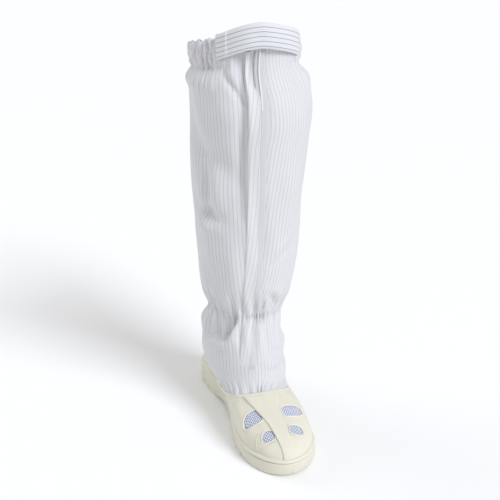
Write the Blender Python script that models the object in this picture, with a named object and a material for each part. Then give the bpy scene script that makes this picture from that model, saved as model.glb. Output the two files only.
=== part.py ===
"""Knee-high cleanroom boot for the left foot: moulded sole, low lasted upper, sewn fabric shaft.

Working frame: +Z up, floor at z = 0, toe towards -Y, lateral side towards +X, lengths in millimetres.
Every body is written in metres at the end and centred over its own footprint.
"""
from bisect import bisect_right
from collections import namedtuple
from functools import lru_cache

import bmesh
import bpy
import numpy as np

MM = 0.001

# Driving sizes of the sole and the last
LENGTH = 272.0          # sole, heel to toe
HEEL_ROUND = 0.13       # share of the length that rounds the heel
TOE_ROUND = 0.20        # share of the length that rounds the toe
TOE_SPRING = 2.5        # lift of the sole's tip
SPRING_FROM = 0.84      # share of the length where that lift begins
ARCH_LIFT = 4.0         # lift of the sole under the arch
ARCH_FROM = 0.27        # arch between these shares of the length
ARCH_TO = 0.55
ARCH_RAMP = 0.09
SOLE_EDGE = 2.2         # rounding of the tread edge
SOLE_LIP = 1.6          # height of the lip at the top of the side
LIP_GROOVE = 0.9        # depth of the groove under the lip
LUG_DEPTH = 3.0
LUG_GAP = 6.0           # width of a tread channel
LUG_DRAFT = 0.8         # each channel wall leans by this much
TREAD_CHANNELS = (0.06, 0.13, 0.20, 0.58, 0.645, 0.71, 0.775)   # shares of the length
TREAD_REACH = 70.0      # half-length of a channel, past both sides

# Walls and clearances
GAP = 0.35              # between neighbouring bodies
SEAT = 0.75             # between the topline binding and the wall it follows
STRIP_SEAT = 0.6        # between the vamp strip and the vamp
UPPER_WALL = 1.6
SHAFT_WALL = 1.0
OVERLAY = 1.0           # thickness of what is sewn on to the upper
MESH_WALL = 0.8
RAND_HEIGHT = 4.4       # bead around the foot of the upper
RAND_DEPTH = 2.6
RAND_SET = 0.7          # bead stands back from the sole's edge
INSOLE = 3.5
TUCK = 9.0              # depth of the shaft's hem inside the upper
BINDING = 4.5           # height of the topline binding
BINDING_SET = 0.3       # binding below the cut edge
HEM_RISE = 0.93         # the cloth leaves the topline along the last above this rise
HEM_LEAN = 0.6
HEM_LIFT = 3.0
BLOUSE = 0.42           # fullness of the cloth over the topline
HEEL_STRIP_TURN = 0.075
HEEL_STRIP_RISE = (0.24, 0.80)

# Bead's own section, as shares of its height and depth
RAND_BEAD = ((0.0, 0.75), (0.25, 1.0), (0.65, 1.0), (0.92, 0.7), (1.0, 0.35))

# Straps and zip
LAP_WIDTH = 14.5
LAP_EDGE = 4.4          # free edge of the lap, beside the front line
ZIP_WIDTH = 7.0
STRIP_LIFT = 1.1        # thickness of the lap and of the zip strip
STRAP_HEIGHT = 27.0
STRAP_WALL = 1.8
STRAP_ARCH = 13.7       # rise of the strap between its ends
STRAP_CROWN = 1.3       # how far the rise gathers towards the strap's middle
STRAP_BOW = 5.0         # how far its middle stands off the collar
STRAP_LEVEL = 480.3     # height of its ends
STRAP_START = -0.285    # medial and lateral ends, as turns from the toe's direction
STRAP_END = 0.260
STRAP_COLUMNS = 17

COLUMNS = 44            # around the foot and the leg
TURN_STEP = 0.01        # small turn and level used for directions
LEVEL_STEP = 0.01
UPPER_ROWS = 9

# Half-widths of the sole from its long axis; share runs from heel to toe
Width = namedtuple("Width", "share medial lateral")
SOLE_WIDTHS = (
    Width(0.00, 31.0, 31.0),
    Width(0.15, 31.6, 32.0),
    Width(0.25, 31.0, 33.0),
    Width(0.40, 26.5, 36.0),
    Width(0.50, 30.5, 40.5),
    Width(0.62, 39.5, 45.5),
    Width(0.70, 44.0, 47.5),
    Width(0.80, 44.6, 48.0),
    Width(0.90, 42.5, 46.5),
    Width(1.00, 42.5, 42.0),
)

# Height of the sole's top edge above the floor
Level = namedtuple("Level", "share top")
SOLE_TOP = (
    Level(0.0, 26.0),
    Level(0.2, 25.0),
    Level(0.4, 21.0),
    Level(0.6, 17.0),
    Level(0.8, 15.5),
    Level(1.0, 18.0),
)

# Topline of the upper: turn 0 is the throat, 1 the back of the heel
Edge = namedtuple("Edge", "turn x y z")
TOPLINE_LATERAL = (
    Edge(0.00, -5.0, -47.0, 64.0),
    Edge(0.15, 13.0, -45.5, 62.5),
    Edge(0.30, 30.0, -40.5, 58.0),
    Edge(0.40, 38.5, -31.0, 53.0),
    Edge(0.50, 41.5, -6.0, 47.0),
    Edge(0.60, 39.0, 30.0, 44.0),
    Edge(0.70, 35.5, 66.0, 44.0),
    Edge(0.80, 30.0, 95.0, 47.0),
    Edge(0.90, 19.0, 114.0, 52.0),
    Edge(1.00, 0.0, 122.0, 55.0),
)
TOPLINE_MEDIAL = (
    Edge(0.00, -5.0, -47.0, 64.0),
    Edge(0.15, -20.0, -41.5, 62.0),
    Edge(0.30, -32.0, -28.0, 56.5),
    Edge(0.40, -37.5, -12.0, 51.0),
    Edge(0.50, -37.5, 10.0, 46.5),
    Edge(0.60, -33.5, 39.0, 44.0),
    Edge(0.70, -31.0, 68.0, 44.0),
    Edge(0.80, -28.5, 95.0, 47.0),
    Edge(0.90, -19.0, 114.0, 52.0),
    Edge(1.00, 0.0, 122.0, 55.0),
)

# Run of the last from the sole to the topline: how the wall leaves the sole and meets the topline
Run = namedtuple("Run", "turn rise flare reach drop")
LAST_RUNS = (
    Run(0.00, 20.0, 2.0, 44.0, 12.0),
    Run(0.15, 20.0, 2.0, 41.0, 12.0),
    Run(0.30, 20.0, 2.5, 26.0, 9.0),
    Run(0.40, 17.0, 3.0, 12.0, 8.0),
    Run(0.50, 12.0, 3.0, 3.0, 9.0),
    Run(0.70, 9.0, 2.5, 2.5, 8.0),
    Run(1.00, 11.0, 2.0, 4.0, 10.0),
)

# Level sections of the leg above the foot
Section = namedtuple("Section", "z cx cy half_width half_depth")
LEG = (
    Section(84.0, 4.0, 42.0, 49.5, 75.0),
    Section(106.0, 6.0, 43.5, 49.0, 66.0),
    Section(125.0, 8.0, 45.0, 46.5, 57.5),
    Section(141.0, 10.0, 45.0, 45.0, 52.5),
    Section(154.0, 10.5, 45.0, 50.0, 55.0),
    Section(168.0, 11.0, 44.0, 55.5, 58.5),
    Section(188.0, 11.3, 43.0, 59.5, 62.0),
    Section(212.0, 12.2, 42.5, 62.0, 64.5),
    Section(254.0, 12.3, 42.0, 65.0, 67.0),
    Section(294.0, 12.3, 41.0, 67.0, 69.0),
    Section(333.0, 13.3, 40.0, 69.5, 71.0),
    Section(371.0, 14.3, 38.0, 71.5, 73.0),
    Section(400.0, 15.0, 36.0, 73.0, 74.0),
    Section(430.0, 13.3, 38.0, 70.0, 71.5),
    Section(451.0, 10.7, 42.5, 63.5, 66.0),
    Section(481.0, 9.5, 43.0, 61.5, 65.0),
)
RIM_RISE = 12.0         # front of the collar above its back
RIM_DROP = 7.0          # how far the gathered sides and back of the collar sag
RIM_SIDE = (0.28, 0.50) # turns where that sag begins and is full
RIM_FROM = 436.0        # level where that rise begins
ANKLE = 141.0           # level of the gathered ankle
ANKLE_TILT = 6.0        # front of that ring above its middle, back below it
ANKLE_CANT = 4.0        # medial side of that ring above its middle, lateral side below it
ANKLE_REACH = 42.0      # how far up and down the tilt fades

# Line of the front closing on the shaft, as a turn from the toe's direction (medial is negative)
Front = namedtuple("Front", "z turn")
FRONT_LINE = (
    Front(76.0, -0.135),
    Front(110.0, -0.115),
    Front(134.0, -0.098),
    Front(200.0, -0.090),
    Front(300.0, -0.080),
    Front(400.0, -0.096),
    Front(440.0, -0.084),
    Front(476.0, -0.066),
)
LEG_ROWS = (84.0, 95.0, 106.0, 117.0, 128.0, 136.0, 143.0, 151.0, 160.0, 171.0, 188.0,
            212.0, 254.0, 294.0, 333.0, 371.0, 402.0, 424.0, 440.0, 451.0, 466.0, 480.5)
CLOSING_FOOT = 82.0     # lower end of the lap and the zip
CLOSING_HEAD = 468.0    # upper end, under the strap

# Mesh windows on the vamp: centre in plan, half-lengths across and along the foot
Window = namedtuple("Window", "name x y across along")
WINDOWS = (
    Window("mesh_medial_rear", -26.8, -74.0, 11.4, 8.6),
    Window("mesh_lateral_rear", 21.5, -80.0, 12.8, 8.3),
    Window("mesh_medial_front", -20.0, -104.5, 8.4, 6.0),
    Window("mesh_lateral_front", 15.0, -106.5, 8.4, 6.1),
)
WINDOW_TILT = np.radians(-12.0)   # the windows lie square to the strip between them
WINDOW_POINTS = 12
MESH_HEM = 1.10         # mesh reaches behind the edge of its window

# Centre strip of the vamp: its two edges as turns, by rise above the sole
Strip = namedtuple("Strip", "rise medial lateral")
VAMP_STRIP = (
    Strip(0.08, -0.062, 0.006),
    Strip(0.31, -0.062, 0.013),
    Strip(0.50, -0.074, 0.026),
    Strip(0.65, -0.094, 0.037),
    Strip(0.79, -0.137, 0.062),
    Strip(0.95, -0.206, 0.150),
)


@lru_cache(maxsize=None)
def knots(rows, key, value):
    """Places, heights and slopes of one column of a table."""
    xs = np.array([getattr(row, key) for row in rows])
    ys = np.array([getattr(row, value) for row in rows])
    slopes = np.gradient(ys, xs)
    slopes[0] = slopes[1] * 0.5
    slopes[-1] = slopes[-2] * 0.5
    return xs.tolist(), ys.tolist(), slopes.tolist()


def run_of(rows, key, value, at):
    """Smooth curve through one column of a table."""
    xs, ys, slopes = knots(rows, key, value)
    at = min(max(at, xs[0]), xs[-1])
    low = min(max(bisect_right(xs, at) - 1, 0), len(xs) - 2)
    step = xs[low + 1] - xs[low]
    t = (at - xs[low]) / step
    start = ys[low] * (1 + 2 * t) * (1 - t) ** 2 + slopes[low] * step * t * (1 - t) ** 2
    end = ys[low + 1] * t ** 2 * (3 - 2 * t) + slopes[low + 1] * step * t ** 2 * (t - 1)
    return start + end


def unit(vector):
    return vector / max(np.linalg.norm(vector), 1e-9)


def share_of(turn):
    """Share of the length from heel to toe at a turn around the foot."""
    return 0.5 + 0.5 * np.cos(np.pi * abs(turn))


def outline(turn):
    """Point of the sole's edge in plan; turn 0 is the toe, +1 and -1 the heel."""
    share = share_of(turn)
    side = "lateral" if turn >= 0 else "medial"
    width = run_of(SOLE_WIDTHS, "share", side, share)
    heel = min(share / HEEL_ROUND, 1.0)
    toe = min((1.0 - share) / TOE_ROUND, 1.0)
    width *= np.sqrt(1 - (1 - heel) ** 2) * np.sqrt(1 - (1 - toe) ** 2)
    return np.array([width if turn >= 0 else -width, LENGTH * (0.5 - share)])


def wrapped(turn):
    """The same turn kept between -1 and 1."""
    return (turn + 1.0) % 2.0 - 1.0


def outward(turn):
    """Plan direction out of the sole's edge."""
    along = outline(wrapped(turn + TURN_STEP)) - outline(wrapped(turn - TURN_STEP))
    return unit(np.array([along[1], -along[0]]))


def sole_point(turn, inset, z):
    turn = wrapped(turn)
    x, y = outline(turn) - outward(turn) * inset
    return np.array([x, y, z])


def floor_of(turn):
    """Underside of the sole: flat heel and forefoot, lifted arch and tip."""
    share = share_of(turn)
    arch = np.clip((share - ARCH_FROM) / ARCH_RAMP, 0, 1) * np.clip((ARCH_TO - share) / ARCH_RAMP, 0, 1)
    spring = np.clip((share - SPRING_FROM) / (1.0 - SPRING_FROM), 0, 1)
    return ARCH_LIFT * arch ** 2 * (3 - 2 * arch) + TOE_SPRING * spring ** 2


def sole_top(turn):
    return run_of(SOLE_TOP, "share", "top", share_of(turn))


def topline(turn):
    rows = TOPLINE_LATERAL if turn >= 0 else TOPLINE_MEDIAL
    return np.array([run_of(rows, "turn", axis, abs(turn)) for axis in "xyz"])


def last(turn, rise):
    """Outside of the upper: rise 0 stands on the sole, rise 1 is the topline."""
    turn = wrapped(turn)
    foot = sole_point(turn, RAND_SET + RAND_DEPTH + GAP, sole_top(turn) + GAP)
    edge = topline(turn)
    away = unit(sole_point(turn, 0.0, 0.0) - sole_point(turn, 4.0, 0.0))
    lean = foot - edge
    lean[2] = 0.0
    lean = unit(lean + away * 6.0)
    rise_up, flare, reach, drop = (run_of(LAST_RUNS, "turn", key, abs(turn)) for key in Run._fields[1:])
    low = foot + away * flare + np.array([0, 0, rise_up])
    high = edge + lean * reach - np.array([0, 0, drop])
    t = rise
    return (1 - t) ** 3 * foot + 3 * t * (1 - t) ** 2 * low + 3 * t * t * (1 - t) * high + t ** 3 * edge


def leg(turn, z):
    """Outside of the shaft's leg at one level."""
    cx, cy, half_width, half_depth = (run_of(LEG, "z", key, z) for key in Section._fields[1:])
    angle = np.pi * turn
    side = np.arccos(np.cos(angle)) / np.pi
    sag = np.clip((side - RIM_SIDE[0]) / (RIM_SIDE[1] - RIM_SIDE[0]), 0.0, 1.0) * RIM_DROP
    lift = max(0.0, (z - RIM_FROM) / (LEG[-1].z - RIM_FROM)) * (RIM_RISE * (0.5 + 0.5 * np.cos(angle)) - sag)
    tilt = ANKLE_TILT * np.cos(angle) - ANKLE_CANT * np.sin(angle)
    tilt *= np.exp(-((z - ANKLE) / ANKLE_REACH) ** 2)
    return np.array([cx + half_width * np.sin(angle), cy - half_depth * np.cos(angle), z + lift + tilt])


def normal_of(surface, turn, level):
    """Outward normal of a surface given by turn and level."""
    across = surface(turn + TURN_STEP / 2, level) - surface(turn - TURN_STEP / 2, level)
    up = surface(turn, level + LEVEL_STEP) - surface(turn, level - LEVEL_STEP)
    return unit(np.cross(across, up))


def off_last(turn, rise, distance):
    return last(turn, rise) + normal_of(last, turn, rise) * distance


def rise_below(turn, distance):
    """Rise that lies a distance below the topline along the last."""
    steps = np.linspace(1.0, 0.0, 41)
    points = np.array([last(turn, step) for step in steps])
    lengths = np.r_[0.0, np.cumsum(np.linalg.norm(np.diff(points, axis=0), axis=1))]
    return np.interp(distance, lengths, steps)


def shaft(turn, level):
    """Outside of the shaft: below 0 it is tucked in the upper, 0 to 1 covers the instep, above 1 the leg."""
    turn = wrapped(turn)
    inside = UPPER_WALL + GAP
    if level <= 0.0:
        return off_last(turn, rise_below(turn, -level * TUCK), -inside)
    low_z = LEG[0].z
    if level >= 1.0:
        return leg(turn, low_z + (level - 1.0) * (LEG[-1].z - low_z))
    start = off_last(turn, 1.0, -inside)
    end = leg(turn, low_z)
    low = start + (last(turn, 1.0) - last(turn, HEM_RISE)) * HEM_LEAN + np.array([0, 0, HEM_LIFT])
    slope = unit(leg(turn, low_z + HEM_LIFT) - end)
    high = end - slope * BLOUSE * np.linalg.norm(end - start)
    t = level
    return (1 - t) ** 3 * start + 3 * t * (1 - t) ** 2 * low + 3 * t * t * (1 - t) * high + t ** 3 * end


def shaft_level(z):
    """Level of the leg at a height."""
    return 1.0 + (z - LEG[0].z) / (LEG[-1].z - LEG[0].z)


def off_shaft(turn, level, distance):
    return shaft(turn, level) + normal_of(shaft, turn, level) * distance


def turns(count):
    return [wrapped(2.0 * index / count) for index in range(count)]


def add_object(name, verts, faces, material):
    mesh = bpy.data.meshes.new(name)
    mesh.from_pydata([tuple(np.asarray(v) * MM) for v in verts], [], faces)
    bm = bmesh.new()
    bm.from_mesh(mesh)
    bmesh.ops.recalc_face_normals(bm, faces=bm.faces)
    bm.to_mesh(mesh)
    bm.free()
    body = bpy.data.objects.new(name, mesh)
    bpy.context.collection.objects.link(body)
    if material:
        mesh.materials.append(material)
    return body


def sheet(name, outer, inner, closed, material):
    """Body between two grids of points with the same rows and columns."""
    rows = len(outer)
    columns = len(outer[0])
    verts = [point for row in outer for point in row] + [point for row in inner for point in row]
    shift = rows * columns
    faces = []
    last_column = columns if closed else columns - 1
    for r in range(rows - 1):
        for c in range(last_column):
            a, b = r * columns + c, r * columns + (c + 1) % columns
            faces.append((a, b, b + columns, a + columns))
            faces.append((shift + a, shift + a + columns, shift + b + columns, shift + b))
    for r in (0, rows - 1):
        for c in range(last_column):
            a, b = r * columns + c, r * columns + (c + 1) % columns
            faces.append((a, shift + a, shift + b, b))
    if not closed:
        for c in (0, columns - 1):
            for r in range(rows - 1):
                a, b = r * columns + c, (r + 1) * columns + c
                faces.append((a, b, shift + b, shift + a))
    return add_object(name, verts, faces, material)


def stack(name, rings, material):
    """Solid body from closed rings, capped at both ends across the long axis."""
    count = len(rings[0])
    verts = [point for ring in rings for point in ring]
    faces = []
    for r in range(len(rings) - 1):
        for c in range(count):
            a, b = r * count + c, r * count + (c + 1) % count
            faces.append((a, b, b + count, a + count))
    half = count // 2
    for base in (0, (len(rings) - 1) * count):
        faces.append((base, base + 1, base + count - 1))
        faces.append((base + half, base + half + 1, base + half - 1))
        for c in range(1, half - 1):
            faces.append((base + c, base + c + 1, base + count - c - 1, base + count - c))
    return add_object(name, verts, faces, material)


def cut(body, cutter):
    """Boolean difference kept as a modifier; the cutter is only a helper shape."""
    cutter.hide_render = True
    cutter.display_type = "WIRE"
    modifier = body.modifiers.new("cut", "BOOLEAN")
    modifier.operation = "DIFFERENCE"
    modifier.solver = "EXACT"
    modifier.object = cutter


def make_material(name, colour, roughness):
    material = bpy.data.materials.new(name)
    material.use_nodes = True
    shader = material.node_tree.nodes["Principled BSDF"]
    shader.inputs["Base Color"].default_value = (*colour, 1.0)
    shader.inputs["Roughness"].default_value = roughness
    return material


def make_outsole():
    """Unit sole: tread edge, side wall, groove and lip, flat top."""
    around = turns(COLUMNS)
    profile = (
        (SOLE_EDGE, lambda t: floor_of(t)),
        (0.6, lambda t: floor_of(t) + SOLE_EDGE * 0.8),
        (0.0, lambda t: floor_of(t) + SOLE_EDGE * 2.0),
        (0.3, lambda t: sole_top(t) - SOLE_LIP * 2.2),
        (0.3 + LIP_GROOVE, lambda t: sole_top(t) - SOLE_LIP * 1.5),
        (0.2, lambda t: sole_top(t) - SOLE_LIP),
        (0.4, lambda t: sole_top(t)),
    )
    rings = [[sole_point(t, inset, height(t)) for t in around] for inset, height in profile]
    body = stack("outsole", rings, make_material("sole_cream", (0.80, 0.77, 0.63), 0.55))
    verts = []
    faces = []
    for share in TREAD_CHANNELS:
        start = len(verts)
        for z, spread in ((-LUG_DEPTH, LUG_GAP / 2), (LUG_DEPTH, LUG_GAP / 2 - LUG_DRAFT)):
            for x, side in ((-1, -1), (1, -1), (1, 1), (-1, 1)):
                verts.append((x * TREAD_REACH, LENGTH * (0.5 - share) + side * spread, z))
        faces += [tuple(start + i for i in face) for face in
                  ((0, 1, 2, 3), (4, 7, 6, 5), (0, 4, 5, 1), (1, 5, 6, 2), (2, 6, 7, 3), (3, 7, 4, 0))]
    cut(body, add_object("tread_cutter", verts, faces, None))


def rise_above(turn, height):
    """Rise that lies a height above the foot of the last."""
    steps = np.linspace(0.0, 0.6, 25)
    heights = [last(turn, step)[2] for step in steps]
    return np.interp(heights[0] + height, heights, steps)


def make_rand():
    """Rolled bead around the foot of the upper."""
    around = turns(COLUMNS)
    outer = []
    inner = []
    for height, depth in RAND_BEAD:
        rises = [rise_above(t, height * RAND_HEIGHT) for t in around]
        outer.append([off_last(t, rise, GAP + depth * RAND_DEPTH) for t, rise in zip(around, rises)])
        inner.append([off_last(t, rise, GAP) for t, rise in zip(around, rises)])
    for column in range(COLUMNS):
        outer[0][column][2] = inner[0][column][2] = sole_top(around[column]) + GAP
    sheet("rand", outer, inner, True, make_material("rand_cream", (0.83, 0.80, 0.68), 0.5))


def make_insole():
    around = turns(COLUMNS)
    inset = RAND_SET + RAND_DEPTH + UPPER_WALL + 3 * GAP
    rings = [[sole_point(t, inset, sole_top(t) + GAP + height) for t in around] for height in (0.0, INSOLE)]
    stack("insole", rings, make_material("insole_grey", (0.62, 0.62, 0.60), 0.9))


@lru_cache(maxsize=None)
def vamp_grid():
    """Turns, rises and plan places of the vamp, to start from."""
    pairs = [(t, r) for t in np.linspace(-0.45, 0.45, 31) for r in np.linspace(0.15, 0.98, 17)]
    return np.array(pairs), np.array([last(t, r)[:2] for t, r in pairs])


def on_last(x, y):
    """Turn and rise of the vamp above a place in plan."""
    pairs, places = vamp_grid()
    here = np.array([x, y])
    turn, rise = pairs[np.argmin(np.linalg.norm(places - here, axis=1))]
    for _ in range(5):
        base = last(turn, rise)[:2]
        slope = np.array([last(turn + LEVEL_STEP, rise)[:2] - base, last(turn, rise + LEVEL_STEP)[:2] - base])
        turn, rise = np.array([turn, rise]) + np.linalg.solve(slope.T / LEVEL_STEP, here - base)
    return turn, rise


def window_places(window, scale):
    """Turns and rises around the edge of a window."""
    places = []
    for index in range(WINDOW_POINTS):
        angle = 2 * np.pi * index / WINDOW_POINTS
        across = window.across * scale * np.cos(angle)
        along = window.along * scale * np.sin(angle)
        x = window.x + across * np.cos(WINDOW_TILT) - along * np.sin(WINDOW_TILT)
        y = window.y + across * np.sin(WINDOW_TILT) + along * np.cos(WINDOW_TILT)
        places.append(on_last(x, y))
    return places


def window_loops(window, scale, low, high):
    places = window_places(window, scale)
    return [[off_last(turn, rise, distance) for turn, rise in places] for distance in (low, high)]


def prism(loops):
    """Vertices and faces of a body between two loops, each closed by a fan about its middle."""
    count = len(loops[0])
    verts = [point for loop in loops for point in loop] + [np.mean(loop, axis=0) for loop in loops]
    faces = []
    for c in range(count):
        d = (c + 1) % count
        faces.append((c, d, count + d, count + c))
        faces.append((d, c, 2 * count))
        faces.append((count + c, count + d, 2 * count + 1))
    return verts, faces


def make_upper():
    """Lasted low upper: one wall from the sole to the topline, windows cut through."""
    around = turns(COLUMNS)
    rises = np.linspace(0.0, 1.0, UPPER_ROWS)
    outer = [[last(t, rise) for t in around] for rise in rises]
    inner = [[off_last(t, rise, -UPPER_WALL) for t in around] for rise in rises]
    for column, t in enumerate(around):
        inner[0][column][2] = outer[0][column][2]
    body = sheet("upper", outer, inner, True, make_material("upper_cream", (0.82, 0.80, 0.68), 0.7))
    verts = []
    faces = []
    mesh_material = make_material("window_mesh", (0.78, 0.80, 0.84), 0.9)
    for window in WINDOWS:
        part_verts, part_faces = prism(window_loops(window, 1.0, -3 * UPPER_WALL, 2 * UPPER_WALL))
        faces += [tuple(len(verts) + i for i in face) for face in part_faces]
        verts += part_verts
        inside = -UPPER_WALL - SEAT
        loops = window_loops(window, MESH_HEM, inside - MESH_WALL, inside)
        add_object(window.name, *prism(loops), mesh_material)
    cut(body, add_object("window_cutter", verts, faces, None))


def make_vamp_strip():
    outer = []
    inner = []
    for rise in np.linspace(0.0, 1.0, UPPER_ROWS)[1:-1]:
        edges = [run_of(VAMP_STRIP, "rise", side, rise) for side in ("medial", "lateral")]
        row = np.linspace(*edges, 5)
        outer.append([off_last(t, rise, STRIP_SEAT + OVERLAY) for t in row])
        inner.append([off_last(t, rise, STRIP_SEAT) for t in row])
    sheet("vamp_strip", outer, inner, False, make_material("strip_cream", (0.84, 0.82, 0.70), 0.65))


def make_binding():
    around = turns(COLUMNS)
    depths = (0.0, BINDING * 0.5, BINDING)
    levels = [[rise_below(t, depth + BINDING_SET) for t in around] for depth in depths]
    thick = (OVERLAY * 0.5, OVERLAY, OVERLAY * 0.6)
    outer = [[off_last(t, level, SEAT + lift) for t, level in zip(around, row)]
             for row, lift in zip(levels, thick)]
    inner = [[off_last(t, level, SEAT) for t, level in zip(around, row)] for row in levels]
    sheet("topline_binding", outer, inner, True, make_material("binding_cream", (0.86, 0.84, 0.74), 0.6))


def make_counter():
    """Back strip over the heel."""
    rows = np.linspace(*HEEL_STRIP_RISE, 6)
    spread = np.linspace(-HEEL_STRIP_TURN, HEEL_STRIP_TURN, 7)
    outer = [[off_last(1.0 + s, rise, GAP + OVERLAY) for s in spread] for rise in rows]
    inner = [[off_last(1.0 + s, rise, GAP) for s in spread] for rise in rows]
    sheet("heel_strip", outer, inner, False, make_material("heel_cream", (0.83, 0.80, 0.68), 0.65))


def make_shaft():
    around = turns(COLUMNS)
    levels = [-1.0, -0.35, 0.0, 0.2, 0.45, 0.72]
    levels += [shaft_level(z) for z in LEG_ROWS]
    outer = [[shaft(t, level) for t in around] for level in levels]
    inner = [[off_shaft(t, level, -SHAFT_WALL) for t in around] for level in levels]
    sheet("shaft", outer, inner, True, make_material("shaft_fabric", (0.86, 0.87, 0.90), 0.85))


def closing(name, left, right, material):
    """Strip beside the front line of the shaft, between two distances from that line."""
    heights = [z for z in LEG_ROWS if CLOSING_FOOT < z < CLOSING_HEAD]
    outer = []
    inner = []
    for z in heights:
        level = shaft_level(z)
        middle = run_of(FRONT_LINE, "z", "turn", z)
        here = shaft(middle, level)
        speed = np.linalg.norm(shaft(middle + TURN_STEP, level) - here) / TURN_STEP
        row = middle + np.linspace(left, right, 3) / speed
        outer.append([off_shaft(t, level, GAP + STRIP_LIFT) for t in row])
        inner.append([off_shaft(t, level, GAP) for t in row])
    sheet(name, outer, inner, False, material)


def make_closing():
    lap = make_material("lap_fabric", (0.88, 0.89, 0.92), 0.85)
    tape = make_material("zip_tape", (0.80, 0.80, 0.84), 0.8)
    closing("zip_lap", LAP_EDGE - LAP_WIDTH, LAP_EDGE - GAP, lap)
    closing("zip_strip", LAP_EDGE, LAP_EDGE + ZIP_WIDTH, tape)


def make_strap():
    """Hook-and-loop strap across the head of the closing, arched up and bowed out between its ends."""
    outer = [[], [], []]
    inner = [[], [], []]
    for share in np.linspace(0.0, 1.0, STRAP_COLUMNS):
        bow = abs(np.sin(np.pi * share)) ** STRAP_CROWN
        turn = STRAP_START + (STRAP_END - STRAP_START) * share
        middle = STRAP_LEVEL + STRAP_ARCH * bow
        away = normal_of(shaft, turn, shaft_level(STRAP_LEVEL))
        away = unit(np.array([away[0], away[1], 0.0]))
        lower = middle - (STRAP_HEIGHT + RIM_RISE) / 2
        behind = [shaft(turn, shaft_level(z)) for z in (lower, middle)]
        reach = max(np.dot(point, away) for point in behind)
        base = shaft(turn, shaft_level(STRAP_LEVEL))
        clear = SEAT + (STRIP_LIFT + STRAP_BOW) * bow
        base = base + away * (reach - np.dot(base, away) + clear)
        for row, side in enumerate((-0.5, 0.0, 0.5)):
            place = np.array([base[0], base[1], middle + side * STRAP_HEIGHT])
            outer[row].append(place + away * STRAP_WALL)
            inner[row].append(place)
    sheet("collar_strap", outer, inner, False, make_material("strap_web", (0.90, 0.91, 0.93), 0.8))


def settle():
    """Centre the whole boot over its footprint, floor at zero."""
    bodies = [body for body in bpy.data.objects if not body.hide_render]
    corners = np.array([np.array(v.co) for body in bodies for v in body.data.vertices])
    low = corners.min(axis=0)
    high = corners.max(axis=0)
    middle = ((low[0] + high[0]) / 2, (low[1] + high[1]) / 2, low[2])
    for body in bpy.data.objects:
        for vertex in body.data.vertices:
            vertex.co = [vertex.co[axis] - middle[axis] for axis in range(3)]


def main():
    for body in list(bpy.data.objects):
        bpy.data.objects.remove(body, do_unlink=True)
    make_outsole()
    make_rand()
    make_insole()
    make_upper()
    make_vamp_strip()
    make_binding()
    make_counter()
    make_shaft()
    make_closing()
    make_strap()
    settle()


main()
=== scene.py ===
"""Looks of a knee-high cleanroom boot for the left foot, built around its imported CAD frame.

Lengths are millimetres in the boot's own working frame (toe towards -Y, lateral side towards +X, floor at
z = 0) until a mesh is written, when they become metres in the row frame. Turns go around the foot and the
leg, from 0 at the toe to 1 at the heel, positive on the lateral side and negative on the medial side.
"""

import logging
from dataclasses import dataclass, field
from enum import Enum
from functools import cached_property
from typing import Callable, Iterable, Sequence

import bpy
import numpy as np
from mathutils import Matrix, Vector

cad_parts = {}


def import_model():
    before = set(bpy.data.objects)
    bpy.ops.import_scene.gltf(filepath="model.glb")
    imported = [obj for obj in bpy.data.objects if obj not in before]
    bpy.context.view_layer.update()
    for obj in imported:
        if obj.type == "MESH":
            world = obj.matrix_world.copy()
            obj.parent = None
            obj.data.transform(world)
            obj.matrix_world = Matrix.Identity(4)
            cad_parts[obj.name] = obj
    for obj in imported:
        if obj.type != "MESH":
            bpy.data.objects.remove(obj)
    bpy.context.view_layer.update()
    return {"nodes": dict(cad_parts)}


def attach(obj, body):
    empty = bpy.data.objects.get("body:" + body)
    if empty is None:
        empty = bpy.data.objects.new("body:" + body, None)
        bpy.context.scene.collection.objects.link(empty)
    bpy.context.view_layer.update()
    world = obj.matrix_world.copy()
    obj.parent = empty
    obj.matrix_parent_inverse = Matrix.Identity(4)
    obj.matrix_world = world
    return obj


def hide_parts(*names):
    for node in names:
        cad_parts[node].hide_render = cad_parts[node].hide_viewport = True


LOG = logging.getLogger("boot")
Array = np.ndarray
Surface = Callable[[Array, Array], Array]
Pair = tuple[float, float]
Triple = tuple[float, float, float]
Piece, Material = bpy.types.Object, bpy.types.Material
Tree, Node, Socket = bpy.types.NodeTree, bpy.types.Node, bpy.types.NodeSocket
MM = 0.001
UP = np.array([0.0, 0.0, 1.0])
FLAT = np.array([1.0, 1.0, 0.0])


class Part(Enum):
    """CAD nodes that a visual piece stands for or dresses."""

    OUTSOLE = "outsole"
    RAND = "rand"
    INSOLE = "insole"
    UPPER = "upper"
    STRIP = "vamp_strip"
    BINDING = "topline_binding"
    HEEL = "heel_strip"
    SHAFT = "shaft"
    LAP = "zip_lap"
    ZIP = "zip_strip"
    STRAP = "collar_strap"


class Slot(Enum):
    """Material slots of the record."""

    SOLE = "sole"
    RAND = "rand"
    UPPER = "upper"
    TRIM = "trim"
    MESH = "mesh"
    SHAFT = "shaft"
    LAP = "lap"
    ZIP = "zip"
    STRAP = "strap"


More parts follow.
